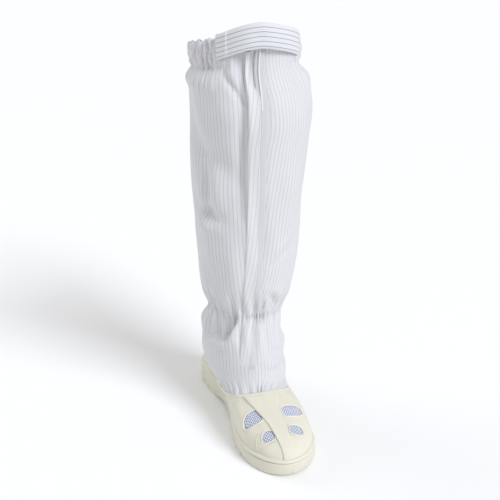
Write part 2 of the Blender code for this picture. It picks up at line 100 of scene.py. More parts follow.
@dataclass(frozen=True)
class Table:
    """Smooth curves through the columns of a short table."""

    rows: tuple[tuple[float, ...], ...]

    def at(self, place: Array, column: int) -> Array:
        """Value of one column at some places.

        Args:
            place: where to read the curve.
            column: which column, counted from 1.

        Returns:
            The values, one for each place.
        """
        data = np.array(self.rows)
        xs, ys = data[:, 0], data[:, column]
        slopes = np.gradient(ys, xs)
        slopes[0] = slopes[1] * 0.5
        slopes[-1] = slopes[-2] * 0.5
        place = np.clip(np.asarray(place, float), xs[0], xs[-1])
        low = np.clip(np.searchsorted(xs, place, side="right") - 1, 0, len(xs) - 2)
        step = xs[low + 1] - xs[low]
        t = (place - xs[low]) / step
        start = ys[low] * (1 + 2 * t) * (1 - t) ** 2 + slopes[low] * step * t * (1 - t) ** 2
        end = ys[low + 1] * t ** 2 * (3 - 2 * t) + slopes[low + 1] * step * t ** 2 * (t - 1)
        return start + end


def unit(vectors: Array) -> Array:
    """Vectors of length one, along the last axis."""
    return vectors / np.maximum(np.linalg.norm(vectors, axis=-1, keepdims=True), 1e-9)


def wrapped(turn: Array) -> Array:
    """The same turns, kept between -1 and 1."""
    return (np.asarray(turn, float) + 1.0) % 2.0 - 1.0


def round_turns(count: int) -> Array:
    """Some turns evenly around the foot, closed."""
    return wrapped(2.0 * np.arange(count) / count)


def smooth(value: Array) -> Array:
    """Soft step: 0 below 0, 1 above 1 and a soft rise between."""
    t = np.clip(value, 0.0, 1.0)
    return t * t * (3 - 2 * t)


def bell(value: Array) -> Array:
    """Bell curve: 1 at 0, next to nothing past 2."""
    return np.exp(-np.asarray(value) ** 2)


def rounded(value: Array) -> Array:
    """Quarter round: 0 at 0, upright there, and 1 from 1 on."""
    return np.sqrt(1.0 - (1.0 - np.clip(value, 0.0, 1.0)) ** 2)


def bezier(ends: tuple[Array, Array], handles: tuple[Array, Array], t: Array) -> Array:
    """Cubic curves by their ends, their handles and places along them from 0 to 1."""
    (start, end), (low, high) = ends, handles
    return (1 - t) ** 3 * start + 3 * t * (1 - t) ** 2 * low + 3 * t * t * (1 - t) * high + t ** 3 * end


def offset(surface: Surface, turn: Array, level: Array, distance: Array) -> Array:
    """Points off a surface along its normal.

    Args:
        surface: the surface, by turn and level.
        turn: turns around.
        level: levels up.
        distance: how far out.

    Returns:
        Points x, y, z.
    """
    turn, level, distance = np.broadcast_arrays(
        np.asarray(turn, float), np.asarray(level, float), np.asarray(distance, float))
    aside, above = 0.005, 0.01
    across = surface(turn + aside, level) - surface(turn - aside, level)
    up = surface(turn, level + above) - surface(turn, level - above)
    return surface(turn, level) + unit(np.cross(across, up)) * distance[..., None]


@dataclass(frozen=True)
class Last:
    """The shape of the foot: the sole's outline, the upper and how they meet."""

    length: float = 272.0
    heel_round: float = 0.13  # share of the length over which the heel's end is rounded
    toe_round: float = 0.20  # the same for the toe
    inset: float = 3.65  # how far the upper stands in from the sole's edge
    gap: float = 0.35  # height of the upper's foot above the sole
    splay: float = 6.0  # how much the upper's wall leans out below the topline
    arch: Pair = (0.27, 0.55)  # shares of the length where the lifted arch starts and ends
    arch_ramp: float = 0.09  # share of the length over which it lifts
    arch_lift: float = 4.0  # height of the arch
    spring_from: float = 0.84  # share of the length where the toe spring starts
    spring_lift: float = 2.5  # height of the toe spring
    near: float = 0.01  # step of turn or rise for reading a slope
    widths: Table = Table((  # share of the length from the heel, medial and lateral half-width
        (0.00, 31.0, 31.0), (0.15, 31.6, 32.0), (0.25, 31.0, 33.0), (0.40, 26.5, 36.0), (0.50, 30.5, 40.5),
        (0.62, 39.5, 45.5), (0.70, 44.0, 47.5), (0.80, 44.6, 48.0), (0.90, 42.5, 46.5), (1.00, 42.5, 42.0)))
    tops: Table = Table((  # share of the length from the heel, height of the sole's top edge
        (0.0, 26.0), (0.2, 25.0), (0.4, 21.0), (0.6, 17.0), (0.8, 15.5), (1.0, 18.0)))
    lateral: Table = Table((  # turn, x, y, z of the topline on the lateral side
        (0.00, -5.0, -47.0, 64.0), (0.15, 13.0, -45.5, 62.5), (0.30, 30.0, -40.5, 58.0),
        (0.40, 38.5, -31.0, 53.0), (0.50, 41.5, -6.0, 47.0), (0.60, 39.0, 30.0, 44.0),
        (0.70, 35.5, 66.0, 44.0), (0.80, 30.0, 95.0, 47.0), (0.90, 19.0, 114.0, 52.0),
        (1.00, 0.0, 122.0, 55.0)))
    medial: Table = Table((  # the same on the medial side
        (0.00, -5.0, -47.0, 64.0), (0.15, -20.0, -41.5, 62.0), (0.30, -32.0, -28.0, 56.5),
        (0.40, -37.5, -12.0, 51.0), (0.50, -37.5, 10.0, 46.5), (0.60, -33.5, 39.0, 44.0),
        (0.70, -31.0, 68.0, 44.0), (0.80, -28.5, 95.0, 47.0), (0.90, -19.0, 114.0, 52.0),
        (1.00, 0.0, 122.0, 55.0)))
    runs: Table = Table((  # turn, lift and flare of the wall's foot, reach and drop of its top
        (0.00, 20.0, 2.0, 44.0, 12.0), (0.15, 20.0, 2.0, 41.0, 12.0), (0.30, 20.0, 2.5, 26.0, 9.0),
        (0.40, 17.0, 3.0, 12.0, 8.0), (0.50, 12.0, 3.0, 3.0, 9.0), (0.70, 9.0, 2.5, 2.5, 8.0),
        (1.00, 11.0, 2.0, 4.0, 10.0)))

    def share(self, turn: Array) -> Array:
        """Share of the length at some turns, from 0 at the heel to 1 at the toe."""
        return 0.5 + 0.5 * np.cos(np.pi * np.abs(turn))

    def outline(self, turn: Array) -> Array:
        """Edge of the sole in plan.

        Args:
            turn: turns around the foot.

        Returns:
            Points x, y.
        """
        turn = wrapped(turn)
        share = self.share(turn)
        width = np.where(turn >= 0, self.widths.at(share, 2), -self.widths.at(share, 1))
        width = width * rounded(share / self.heel_round) * rounded((1.0 - share) / self.toe_round)
        return np.stack([width, self.length * (0.5 - share)], axis=-1)

    def away(self, turn: Array) -> Array:
        """Plan direction out of the sole's edge.

        Args:
            turn: turns around the foot.

        Returns:
            Unit vectors x, y, 0.
        """
        along = self.outline(np.asarray(turn) + self.near) - self.outline(np.asarray(turn) - self.near)
        flat = unit(np.stack([along[..., 1], -along[..., 0]], axis=-1))
        return np.concatenate([flat, np.zeros(flat.shape[:-1] + (1,))], axis=-1)

    def sole_point(self, turn: Array, inset: Array, z: Array) -> Array:
        """Points inside the sole's edge.

        Args:
            turn: turns around the foot.
            inset: distance in from the edge.
            z: height.

        Returns:
            Points x, y, z.
        """
        turn, inset, z = np.broadcast_arrays(np.asarray(turn, float), inset, z)
        point = np.concatenate([self.outline(turn), z[..., None]], axis=-1)
        return point - self.away(turn) * inset[..., None]

    def top(self, turn: Array) -> Array:
        """Height of the sole's top edge at some turns."""
        return self.tops.at(self.share(wrapped(turn)), 1)

    def floor(self, turn: Array) -> Array:
        """Underside of the sole.

        Args:
            turn: turns around the foot.

        Returns:
            Heights of the tread above the floor.
        """
        share = self.share(wrapped(turn))
        behind, before = self.arch
        arch = np.clip((share - behind) / self.arch_ramp, 0, 1)
        arch = arch * np.clip((before - share) / self.arch_ramp, 0, 1)
        spring = np.clip((share - self.spring_from) / (1.0 - self.spring_from), 0, 1)
        return self.arch_lift * smooth(arch) + self.spring_lift * spring ** 2

    def topline(self, turn: Array) -> Array:
        """Upper edge of the upper.

        Args:
            turn: turns around the foot.

        Returns:
            Points x, y, z.
        """
        turn = wrapped(turn)
        lateral, medial = (np.stack([table.at(np.abs(turn), c) for c in (1, 2, 3)], axis=-1)
                           for table in (self.lateral, self.medial))
        return np.where((turn >= 0)[..., None], lateral, medial)

    def point(self, turn: Array, rise: Array) -> Array:
        """Outside of the upper.

        Args:
            turn: turns around the foot.
            rise: 0 on the sole, 1 at the topline.

        Returns:
            Points x, y, z.
        """
        turn, rise = np.broadcast_arrays(wrapped(turn), np.asarray(rise, float))
        foot = self.sole_point(turn, self.inset, self.top(turn) + self.gap)
        edge = self.topline(turn)
        away = self.away(turn)
        lean = unit((foot - edge) * FLAT + away * self.splay)
        lift, flare, reach, drop = (self.runs.at(np.abs(turn), c)[..., None] for c in (1, 2, 3, 4))
        low = foot + away * flare + UP * lift
        high = edge + lean * reach - UP * drop
        return bezier((foot, edge), (low, high), rise[..., None])

    def off(self, turn: Array, rise: Array, distance: Array) -> Array:
        """Points off the upper along its normal, by turn, rise and distance."""
        return offset(self.point, turn, rise, distance)

    def rise_below(self, turn: Array, distance: float) -> Array:
        """Rise that lies a distance below the topline.

        Args:
            turn: turns around the foot, a flat list.
            distance: how far below, along the upper.

        Returns:
            Rises.
        """
        steps = np.linspace(1.0, 0.0, 81)
        points = self.point(np.asarray(turn)[:, None], steps[None, :])
        runs = np.cumsum(np.linalg.norm(np.diff(points, axis=1), axis=2), axis=1)
        return np.array([np.interp(distance, np.r_[0.0, run], steps) for run in runs])

    def rise_above(self, turn: Array, height: float) -> Array:
        """Rise that lies a height above the sole.

        Args:
            turn: turns around the foot, a flat list.
            height: how far above.

        Returns:
            Rises.
        """
        steps = np.linspace(0.0, 0.6, 61)
        heights = self.point(np.asarray(turn)[:, None], steps[None, :])[..., 2]
        return np.array([np.interp(row[0] + height, row, steps) for row in heights])

    def over(self, x: Array, y: Array) -> tuple[Array, Array]:
        """Turn and rise of the vamp above places in plan.

        Args:
            x: places across the foot.
            y: places along the foot.

        Returns:
            Turns and rises.
        """
        grid_t, grid_r = np.meshgrid(np.linspace(-0.45, 0.45, 61), np.linspace(0.12, 1.0, 45))
        plan = self.point(grid_t, grid_r)[..., :2].reshape(-1, 2)
        here = np.stack([x, y], axis=-1).reshape(-1, 2)
        best = np.argmin(((plan[None] - here[:, None]) ** 2).sum(-1), axis=1)
        pair = np.stack([grid_t.ravel()[best], grid_r.ravel()[best]], axis=-1)
        for _ in range(5):
            base = self.point(pair[:, 0], pair[:, 1])[:, :2]
            by_turn = (self.point(pair[:, 0] + self.near, pair[:, 1])[:, :2] - base) / self.near
            by_rise = (self.point(pair[:, 0], pair[:, 1] + self.near)[:, :2] - base) / self.near
            slope = np.stack([by_turn, by_rise], axis=-1)
            pair = pair + np.linalg.solve(slope, (here - base)[..., None])[..., 0]
        return pair[:, 0].reshape(np.shape(x)), pair[:, 1].reshape(np.shape(x))


@dataclass(frozen=True)
class Wave:
    """One even wave of the cloth around the leg."""

    size: float
    count: float  # waves in half a round
    phase: float = 0.0  # where it starts, in radians
    lean: float = 0.0  # radians that it shifts with each millimetre of height

    def at(self, turn: Array, z: Array = 0.0, shift: Array = 0.0) -> Array:
        """Height of the wave by turn and height, with its phase shifted by some radians."""
        return self.size * np.sin(2 * np.pi * self.count * turn + shift + self.lean * z + self.phase)


@dataclass(frozen=True)
class Pleats:
    """A row of pointed pleats along an elastic."""

    size: float
    above: float  # height of the row's middle above the elastic
    reach: float  # how far the row reaches up and down
    count: float  # pleats in half a round
    mean: float  # share of a pleat that lies inside the smooth leg
    sway: float  # how much uneven spacing shifts them

    def at(self, turn: Array, above: Array, spacing: Array) -> Array:
        """Displacement outwards by turn, height above the elastic and shift of the pleats in radians."""
        wave = np.abs(np.sin(np.pi * self.count * turn + self.sway * spacing)) - self.mean
        return self.size * bell((above - self.above) / self.reach) * wave


@dataclass(frozen=True)
class Bulge:
    """Soft swelling of a surface, or a dent where its size is negative."""

    turn: float
    level: float
    wide: float  # half-width in turns
    high: float  # half-height in levels
    size: float

    def at(self, turn: Array, level: Array) -> Array:
        """Displacement outwards by turn and level."""
        return self.size * bell((turn - self.turn) / self.wide) * bell((level - self.level) / self.high)


@dataclass(frozen=True)
class AnkleGathers:
    """Cloth drawn in by the elastic at the ankle: pleats on it, folds above it and droops below it."""

    line: float = 141.0  # height of the elastic
    spacing: tuple[Wave, ...] = (Wave(0.9, 2.0, 1.1), Wave(0.7, 5.0, 0.3))  # uneven spacing of the pleats
    beat_mean: float = 0.75  # mean strength of the pleats
    beat: Wave = Wave(0.25, 3.5, 0.6)
    pleats: Pleats = Pleats(3.2, 0.0, 9.0, 24.0, 0.62, 1.0)
    puckers: Pleats = Pleats(2.1, 3.0, 4.0, 46.0, 0.60, 2.0)
    folds: Wave = Wave(1.5, 12.0, 0.0, 1.0 / 40.0)  # folds above the elastic
    folds_above: float = 18.0
    folds_reach: float = 18.0
    droops: Wave = Wave(1.4, 9.0, 2.0)  # folds below the elastic
    droops_below: float = 20.0
    droops_reach: float = 14.0

    def at(self, turn: Array, z: Array) -> Array:
        """Displacement outwards.

        Args:
            turn: turns around the leg.
            z: heights.

        Returns:
            Displacements.
        """
        above = z - self.line
        spacing = sum(wave.at(turn) for wave in self.spacing)
        pleats = (self.beat_mean + self.beat.at(turn)) * self.pleats.at(turn, above, spacing)
        pleats = pleats + self.puckers.at(turn, above, spacing)
        folds = bell((above - self.folds_above) / self.folds_reach) * self.folds.at(turn, z, spacing)
        droops = bell((above + self.droops_below) / self.droops_reach) * self.droops.at(turn)
        return pleats + folds + droops


@dataclass(frozen=True)
class HemGathers:
    """Gathers of the hem just above the upper's edge, and the cloth that bags over that edge."""

    level: float = 0.22
    reach: float = 0.30  # how far they reach up and down
    mean: float = 1.2  # how far they stand out on average
    wave: Wave = Wave(1.1, 15.0)
    sway: Wave = Wave(2.0, 3.0)  # unevenness of their spacing
    bulges: tuple[Bulge, ...] = (  # where the cloth bags over the edge
        Bulge(-0.25, 0.16, 0.12, 0.14, 3.2), Bulge(0.36, 0.72, 0.13, 0.24, 4.0))
    sag: Bulge = Bulge(-0.25, 0.14, 0.11, 0.12, 4.5)  # how far it hangs down there

    def at(self, turn: Array, level: Array) -> Array:
        """Displacement outwards.

        Args:
            turn: turns around the leg.
            level: levels up the shaft.

        Returns:
            Displacements.
        """
        row = bell((np.maximum(level, 0.0) - self.level) / self.reach) * (level < 1.0)
        gathers = row * (self.mean + self.wave.at(turn, shift=self.sway.at(turn)))
        return gathers + sum(bulge.at(turn, level) for bulge in self.bulges)


@dataclass(frozen=True)
class Slack:
    """Soft unevenness of the loose cloth of the leg."""

    waves: tuple[Wave, ...] = (  # the waves that make it up
        Wave(0.9, 2.0, 0.0, 1.0 / 47.0), Wave(0.7, 4.0, 1.0, -1.0 / 33.0), Wave(0.35, 7.0, 0.4, 1.0 / 21.0))
    foot: float = 150.0
    foot_rise: float = 60.0
    head: float = 420.0
    head_rise: float = 30.0
    head_loss: float = 0.6  # share of it that fades there

    def at(self, turn: Array, z: Array) -> Array:
        """Displacement outwards by turn and height."""
        share = (smooth((z - self.foot) / self.foot_rise)
                 - self.head_loss * smooth((z - self.head) / self.head_rise))
        return share * sum(wave.at(turn, z) for wave in self.waves)


@dataclass(frozen=True)
class CollarGathers:
    """Gathered collar: ruffled casing, the drawn-in line at its foot and the puff below."""

    closing: float = -0.01  # turn of the closing, where nothing is gathered
    closing_wide: float = 0.25  # half-width of the closing in turns
    count: float = 17.0  # ruffles in half a round
    spacing: tuple[Wave, ...] = (Wave(1.5, 3.0, 0.7), Wave(0.8, 7.0, 2.1))  # unevenness of their spacing
    lean: Wave = Wave(0.045, 4.0, 0.5)  # how they lean with height
    lean_from: float = 466.0  # height from which they lean
    strength_mean: float = 0.78  # mean strength of the ruffles
    strength: Wave = Wave(0.22, 5.0, 1.3)
    crest: float = 2.0  # height of a ruffle's crest over its trough
    trough: float = 1.25
    casing: float = 449.0  # height of the casing's foot
    casing_rise: float = 9.0
    ruffle: float = 2.7
    pucker: float = 1.0 / 2.9  # radians of the fine puckers in each millimetre of height
    pucker_sway: Wave = Wave(4.0, 6.0)  # how the puckers wander around the leg
    line: float = 454.0  # height of the drawn-in line
    line_reach: float = 3.6
    line_depth: float = 3.2
    puff_middle: float = 439.5
    puff_reach: float = 9.0
    puff: float = 3.9  # how far it stands out
    rim: float = 458.0  # height from which the rim waves up and down
    rim_rise: float = 20.0  # height over which that grows
    rim_wave: float = 1.6
    rim_ripple: Wave = Wave(1.2, 11.0)

    def gathered(self, turn: Array) -> Array:
        """How much is gathered at some turns: 0 at the closing, 1 away from it."""
        return 1.0 - np.exp(-((turn - self.closing) / self.closing_wide) ** 4)

    def ruffles(self, turn: Array, z: Array) -> Array:
        """Uneven waves of the gathered cloth.

        Args:
            turn: turns around the leg.
            z: heights.

        Returns:
            The waves, about between -1 and 1.
        """
        spacing = sum(wave.at(turn) for wave in self.spacing)
        lean = (z - self.lean_from) * self.lean.at(turn)
        wave = self.crest * np.abs(np.sin(np.pi * self.count * turn + spacing + lean)) - self.trough
        return (self.strength_mean + self.strength.at(turn)) * wave

    def at(self, turn: Array, z: Array) -> Array:
        """Displacement outwards.

        Args:
            turn: turns around the leg.
            z: heights.

        Returns:
            Displacements.
        """
        ruffles = self.ruffles(turn, z)
        casing = smooth((z - self.casing) / self.casing_rise)
        casing = casing * (self.ruffle * ruffles + np.sin(z * self.pucker + self.pucker_sway.at(turn)))
        line = self.line_depth * bell((z - self.line) / self.line_reach)
        puff = bell((z - self.puff_middle) / self.puff_reach) * (self.puff + ruffles)
        return self.gathered(turn) * (casing - line + puff)

    def rim_height(self, turn: Array, z: Array) -> Array:
        """How far the gathered rim waves up and down, by turn and height."""
        waves = self.rim_wave * self.ruffles(turn, z) + self.rim_ripple.at(turn)
        return smooth((z - self.rim) / self.rim_rise) * self.gathered(turn) * waves


CLOTH_TURN = 215.0  # millimetres of cloth in half a round


@dataclass(frozen=True)
class Crease:
    """One soft trough (positive depth) or ridge (negative depth) of the cloth between two places."""

    start: Pair  # turn and height of one end
    end: Pair  # turn and height of the other end
    width: float
    depth: float
    shallow: float = 0.35  # share of the depth left at the ends
    end_round: float = 0.04  # share of the length over which the depth stays at that

    def at(self, turn: Array, z: Array) -> Array:
        """Displacement by this crease.

        Args:
            turn: turns around the leg.
            z: heights.

        Returns:
            Displacements, inwards negative.
        """
        start, end = (np.array([place[0] * CLOTH_TURN, place[1]]) for place in (self.start, self.end))
        here = np.stack([turn * CLOTH_TURN, z], axis=-1) - start
        run = end - start
        t = np.clip(here @ run / (run @ run), 0.0, 1.0)
        distance = np.linalg.norm(here - t[..., None] * run, axis=-1)
        middle = np.sin(np.pi * np.clip(t, self.end_round, 1.0 - self.end_round))
        taper = self.shallow + (1.0 - self.shallow) * middle
        return -self.depth * taper * bell(distance / self.width)


@dataclass(frozen=True)
class Hollow:
    """Hollow of the bloused ankle on the medial side, hooded by the cloth below and before it."""

    edge: Table = Table((  # turn and height of the hollow's lower and front edge
        (-0.700, 90.0), (-0.600, 96.5), (-0.503, 102.0), (-0.397, 107.0), (-0.318, 111.0), (-0.272, 116.0),
        (-0.241, 123.5), (-0.221, 129.5), (-0.205, 137.0), (-0.190, 146.0), (-0.150, 166.0)))
    depth: float = 10.0
    fall: float = 0.8  # how quickly the depth runs out upwards
    rim: float = 4.0  # how far the cloth stands out along the edge
    step: float = 3.6  # width of the edge's step
    rim_reach: float = 1.7  # half-width of the rim, in steps
    back: float = -0.58  # turn where the hollow starts
    front: float = -0.19  # turn where it ends
    rim_back: float = -0.64
    rim_front: float = -0.15
    back_fade: float = 0.16  # turns over which both grow at the back
    front_fade: float = 0.03  # turns over which both run out at the front
    near: float = 0.004  # step of turn for reading the edge's slope

    def at(self, turn: Array, z: Array, head: float) -> Array:
        """Displacement by the hollow and its rim.

        Args:
            turn: turns around the leg.
            z: heights.
            head: height at which the hollow runs out.

        Returns:
            Displacements, inwards negative.
        """
        edge = self.edge.at(turn, 1)
        slope = self.edge.at(turn + self.near, 1) - self.edge.at(turn - self.near, 1)
        above = (z - edge) / np.sqrt(1.0 + (slope / (2.0 * self.near * CLOTH_TURN)) ** 2)
        fall = np.clip(1.0 - (z - edge) / np.maximum(head - edge, 1.0), 0.0, 1.0) ** self.fall
        hollow = self.depth * fall * smooth(above / self.step + 0.5)
        rim = self.rim * bell((above + self.step) / (self.rim_reach * self.step))
        rim = rim * self._span(turn, self.rim_back, self.rim_front)
        return rim - hollow * self._span(turn, self.back, self.front)

    def _span(self, turn: Array, back: float, front: float) -> Array:
        """Share of the hollow's strength at some turns between its back and its front."""
        return smooth((turn - back) / self.back_fade) * smooth((front - turn) / self.front_fade)


@dataclass(frozen=True)
class Leg:
    """The cloth shaft: hem inside the upper, bloused ankle, leg and gathered collar."""

    last: Last
    sections: Table = Table((  # height, centre x, centre y, half-width and half-depth of the leg
        (84.0, 4.0, 42.0, 49.5, 75.0), (106.0, 6.0, 43.5, 49.0, 66.0), (125.0, 8.0, 45.0, 46.5, 57.5),
        (141.0, 10.0, 45.0, 45.0, 52.5), (154.0, 10.5, 45.0, 50.0, 55.0), (168.0, 11.0, 44.0, 55.5, 58.5),
        (188.0, 11.3, 43.0, 59.5, 62.0), (212.0, 12.2, 42.5, 62.0, 64.5), (254.0, 12.3, 42.0, 65.0, 67.0),
        (294.0, 12.3, 41.0, 67.0, 69.0), (333.0, 13.3, 40.0, 69.5, 71.0), (371.0, 14.3, 38.0, 71.5, 73.0),
        (400.0, 15.0, 36.0, 73.0, 74.0), (430.0, 13.3, 38.0, 70.0, 71.5), (451.0, 10.7, 42.5, 63.5, 66.0),
        (481.0, 9.5, 43.0, 61.5, 65.0)))
    front: Table = Table((  # height and turn of the closing's front line
        (76.0, -0.135), (110.0, -0.115), (134.0, -0.098), (200.0, -0.090), (300.0, -0.080), (400.0, -0.096),
        (440.0, -0.084), (476.0, -0.066)))
    inside: float = 1.95  # how far the hem stands inside the upper
    rim_rise: float = 12.0  # how far the rim rises at the front
    rim_drop: float = 7.0  # how far it sags at the sides and the back
    rim_side: Pair = (0.28, 0.50)  # turns between which the sag begins
    rim_from: float = 436.0  # height where both begin
    tilt: float = 6.0  # how far the ankle's elastic rises to the front
    cant: float = 4.0  # how far it rises to the medial side
    reach: float = 42.0  # how far up and down the leg follows that
    hem_rise: float = 0.93  # rise of the upper whose direction the hem follows
    hem_handle: float = 0.6  # how far it follows
    hem_lift: float = 3.0  # how far it lifts off there
    leg_handle: float = 0.42  # how far the leg's direction reaches down, as a share of the instep
    tuck_rise: float = 0.9  # rise of the upper that the tucked hem points to
    tuck: float = 0.8  # how far it reaches there
    calm: float = -0.02  # level below which the hem lies smooth
    calm_rise: float = 0.12
    ankle: AnkleGathers = AnkleGathers()
    hem: HemGathers = HemGathers()
    slack: Slack = Slack()
    collar: CollarGathers = CollarGathers()
    hollow: Hollow = Hollow()
    creases: tuple[Crease, ...] = (
        Crease((-0.250, 450.0), (-0.150, 424.0), 3.6, 4.0),
        Crease((-0.230, 458.0), (-0.150, 440.0), 7.0, -3.0),
        Crease((-0.150, 470.0), (-0.085, 452.0), 11.0, 4.5),
        Crease((-0.158, 472.0), (-0.160, 290.0), 6.5, 5.6),
        Crease((-0.157, 300.0), (-0.165, 170.0), 6.0, 0.6),
        Crease((-0.330, 428.0), (-0.210, 408.0), 20.0, -3.4),
        Crease((-0.560, 424.0), (-0.480, 372.0), 15.0, 5.4),
        Crease((-0.470, 378.0), (-0.190, 338.0), 14.0, 5.0),
        Crease((-0.395, 356.0), (-0.372, 290.0), 8.5, 7.0),
        Crease((-0.300, 330.0), (-0.280, 300.0), 15.0, -2.6),
        Crease((-0.470, 293.0), (-0.290, 284.0), 8.5, 6.2),
        Crease((-0.460, 273.0), (-0.320, 270.0), 8.0, -4.6),
        Crease((-0.430, 240.0), (-0.250, 232.0), 22.0, -2.2),
        Crease((0.045, 222.0), (0.150, 244.0), 5.0, 2.4),
        Crease((0.050, 233.0), (0.160, 256.0), 7.0, -1.6),
        Crease((0.200, 400.0), (0.330, 392.0), 16.0, 2.0),
        Crease((0.100, 330.0), (0.230, 320.0), 18.0, -1.4),
        Crease((0.030, 178.0), (0.125, 158.0), 4.5, 1.5),
        Crease((0.050, 190.0), (0.160, 170.0), 7.0, -1.8),
        Crease((-0.780, 118.0), (-0.560, 116.0), 15.0, -5.0),
        Crease((0.300, 98.0), (0.560, 96.0), 9.0, -4.0),
        Crease((0.280, 118.0), (0.600, 114.0), 8.0, 2.6),
        Crease((0.060, 102.0), (0.240, 92.0), 5.5, 2.8),
        Crease((0.020, 92.0), (0.200, 84.0), 6.0, -2.2),
        Crease((0.620, 300.0), (0.800, 285.0), 10.0, 3.0),
        Crease((0.600, 284.0), (0.780, 268.0), 9.0, -2.4),
        Crease((-0.900, 330.0), (-0.700, 318.0), 11.0, 2.8),
        Crease((0.550, 200.0), (0.760, 190.0), 9.0, 2.8),
        Crease((0.700, 420.0), (0.920, 396.0), 12.0, 2.6),
    )

    @property
    def low(self) -> float:
        """Height of the leg's lowest section."""
        return self.sections.rows[0][0]

    @property
    def high(self) -> float:
        """Height of the rim's section."""
        return self.sections.rows[-1][0]

    def level(self, z: Array) -> Array:
        """Levels at some heights of the leg, from 1 at its foot to 2 at the rim."""
        return 1.0 + (np.asarray(z, float) - self.low) / (self.high - self.low)

    def height(self, level: Array) -> Array:
        """Heights of the leg at some levels."""
        return self.low + (np.asarray(level, float) - 1.0) * (self.high - self.low)

    def half_girth(self, z: Array) -> Array:
        """Half the leg's girth at some heights."""
        return np.pi * (self.sections.at(z, 3) + self.sections.at(z, 4)) * 0.5

    def ring(self, turn: Array, z: Array) -> Array:
        """Smooth leg without folds.

        Args:
            turn: turns around the leg.
            z: heights.

        Returns:
            Points x, y, z.
        """
        cx, cy, wide, deep = (self.sections.at(z, c) for c in (1, 2, 3, 4))
        angle = np.pi * turn
        side = np.arccos(np.cos(angle)) / np.pi
        start, end = self.rim_side
        sag = np.clip((side - start) / (end - start), 0.0, 1.0) * self.rim_drop
        lift = np.maximum(0.0, (z - self.rim_from) / (self.high - self.rim_from))
        lift = lift * (self.rim_rise * (0.5 + 0.5 * np.cos(angle)) - sag)
        tilt = self.tilt * np.cos(angle) - self.cant * np.sin(angle)
        tilt = tilt * bell((z - self.ankle.line) / self.reach)
        return np.stack([cx + wide * np.sin(angle), cy - deep * np.cos(angle), z + lift + tilt], axis=-1)

    def smooth_point(self, turn: Array, level: Array) -> Array:
        """Smooth shaft: tucked hem below 0, instep from 0 to 1, leg above 1.

        Args:
            turn: turns around the shaft.
            level: levels up the shaft.

        Returns:
            Points x, y, z.
        """
        turn, level = np.broadcast_arrays(wrapped(turn), np.asarray(level, float))
        low_z = np.full_like(level, self.low)
        start = self.last.off(turn, np.ones_like(level), -self.inside)
        end = self.ring(turn, low_z)
        edge = self.last.point(turn, 1.0)
        low = start + (edge - self.last.point(turn, self.hem_rise)) * self.hem_handle + UP * self.hem_lift
        slope = unit(self.ring(turn, low_z + self.hem_lift) - end)
        high = end - slope * self.leg_handle * np.linalg.norm(end - start, axis=-1, keepdims=True)
        instep = bezier((start, end), (low, high), np.clip(level, 0.0, 1.0)[..., None])
        tuck = np.clip(-level, 0, 1)[..., None] * self.tuck
        hem = start + (self.last.point(turn, self.tuck_rise) - edge) * tuck
        leg = self.ring(turn, self.height(np.maximum(level, 1.0)))
        return np.where((level >= 1.0)[..., None], leg, np.where((level <= 0.0)[..., None], hem, instep))

    def folds(self, turn: Array, level: Array) -> Array:
        """Displacement of the cloth by all its gathers and creases.

        Args:
            turn: turns around the shaft.
            level: levels up the shaft.

        Returns:
            Displacements outwards.
        """
        turn, level = np.broadcast_arrays(wrapped(turn), np.asarray(level, float))
        z = self.height(level)
        reliefs = (self.ankle, self.collar, self.slack, *self.creases)
        depth = self.hem.at(turn, level) + sum(relief.at(turn, z) for relief in reliefs)
        depth = depth + self.hollow.at(turn, z, self.ankle.line)
        return depth * smooth((level - self.calm) / self.calm_rise)

    def off(self, turn: Array, level: Array, distance: Array) -> Array:
        """Points off the folded shaft along the smooth shaft's normal.

        Args:
            turn: turns around the shaft.
            level: levels up the shaft.
            distance: how far out.

        Returns:
            Points x, y, z.
        """
        turn, level = np.broadcast_arrays(wrapped(turn), np.asarray(level, float))
        points = offset(self.smooth_point, turn, level, self.folds(turn, level) + distance)
        points[..., 2] += self.collar.rim_height(turn, self.height(level)) - self.hem.sag.at(turn, level)
        return points


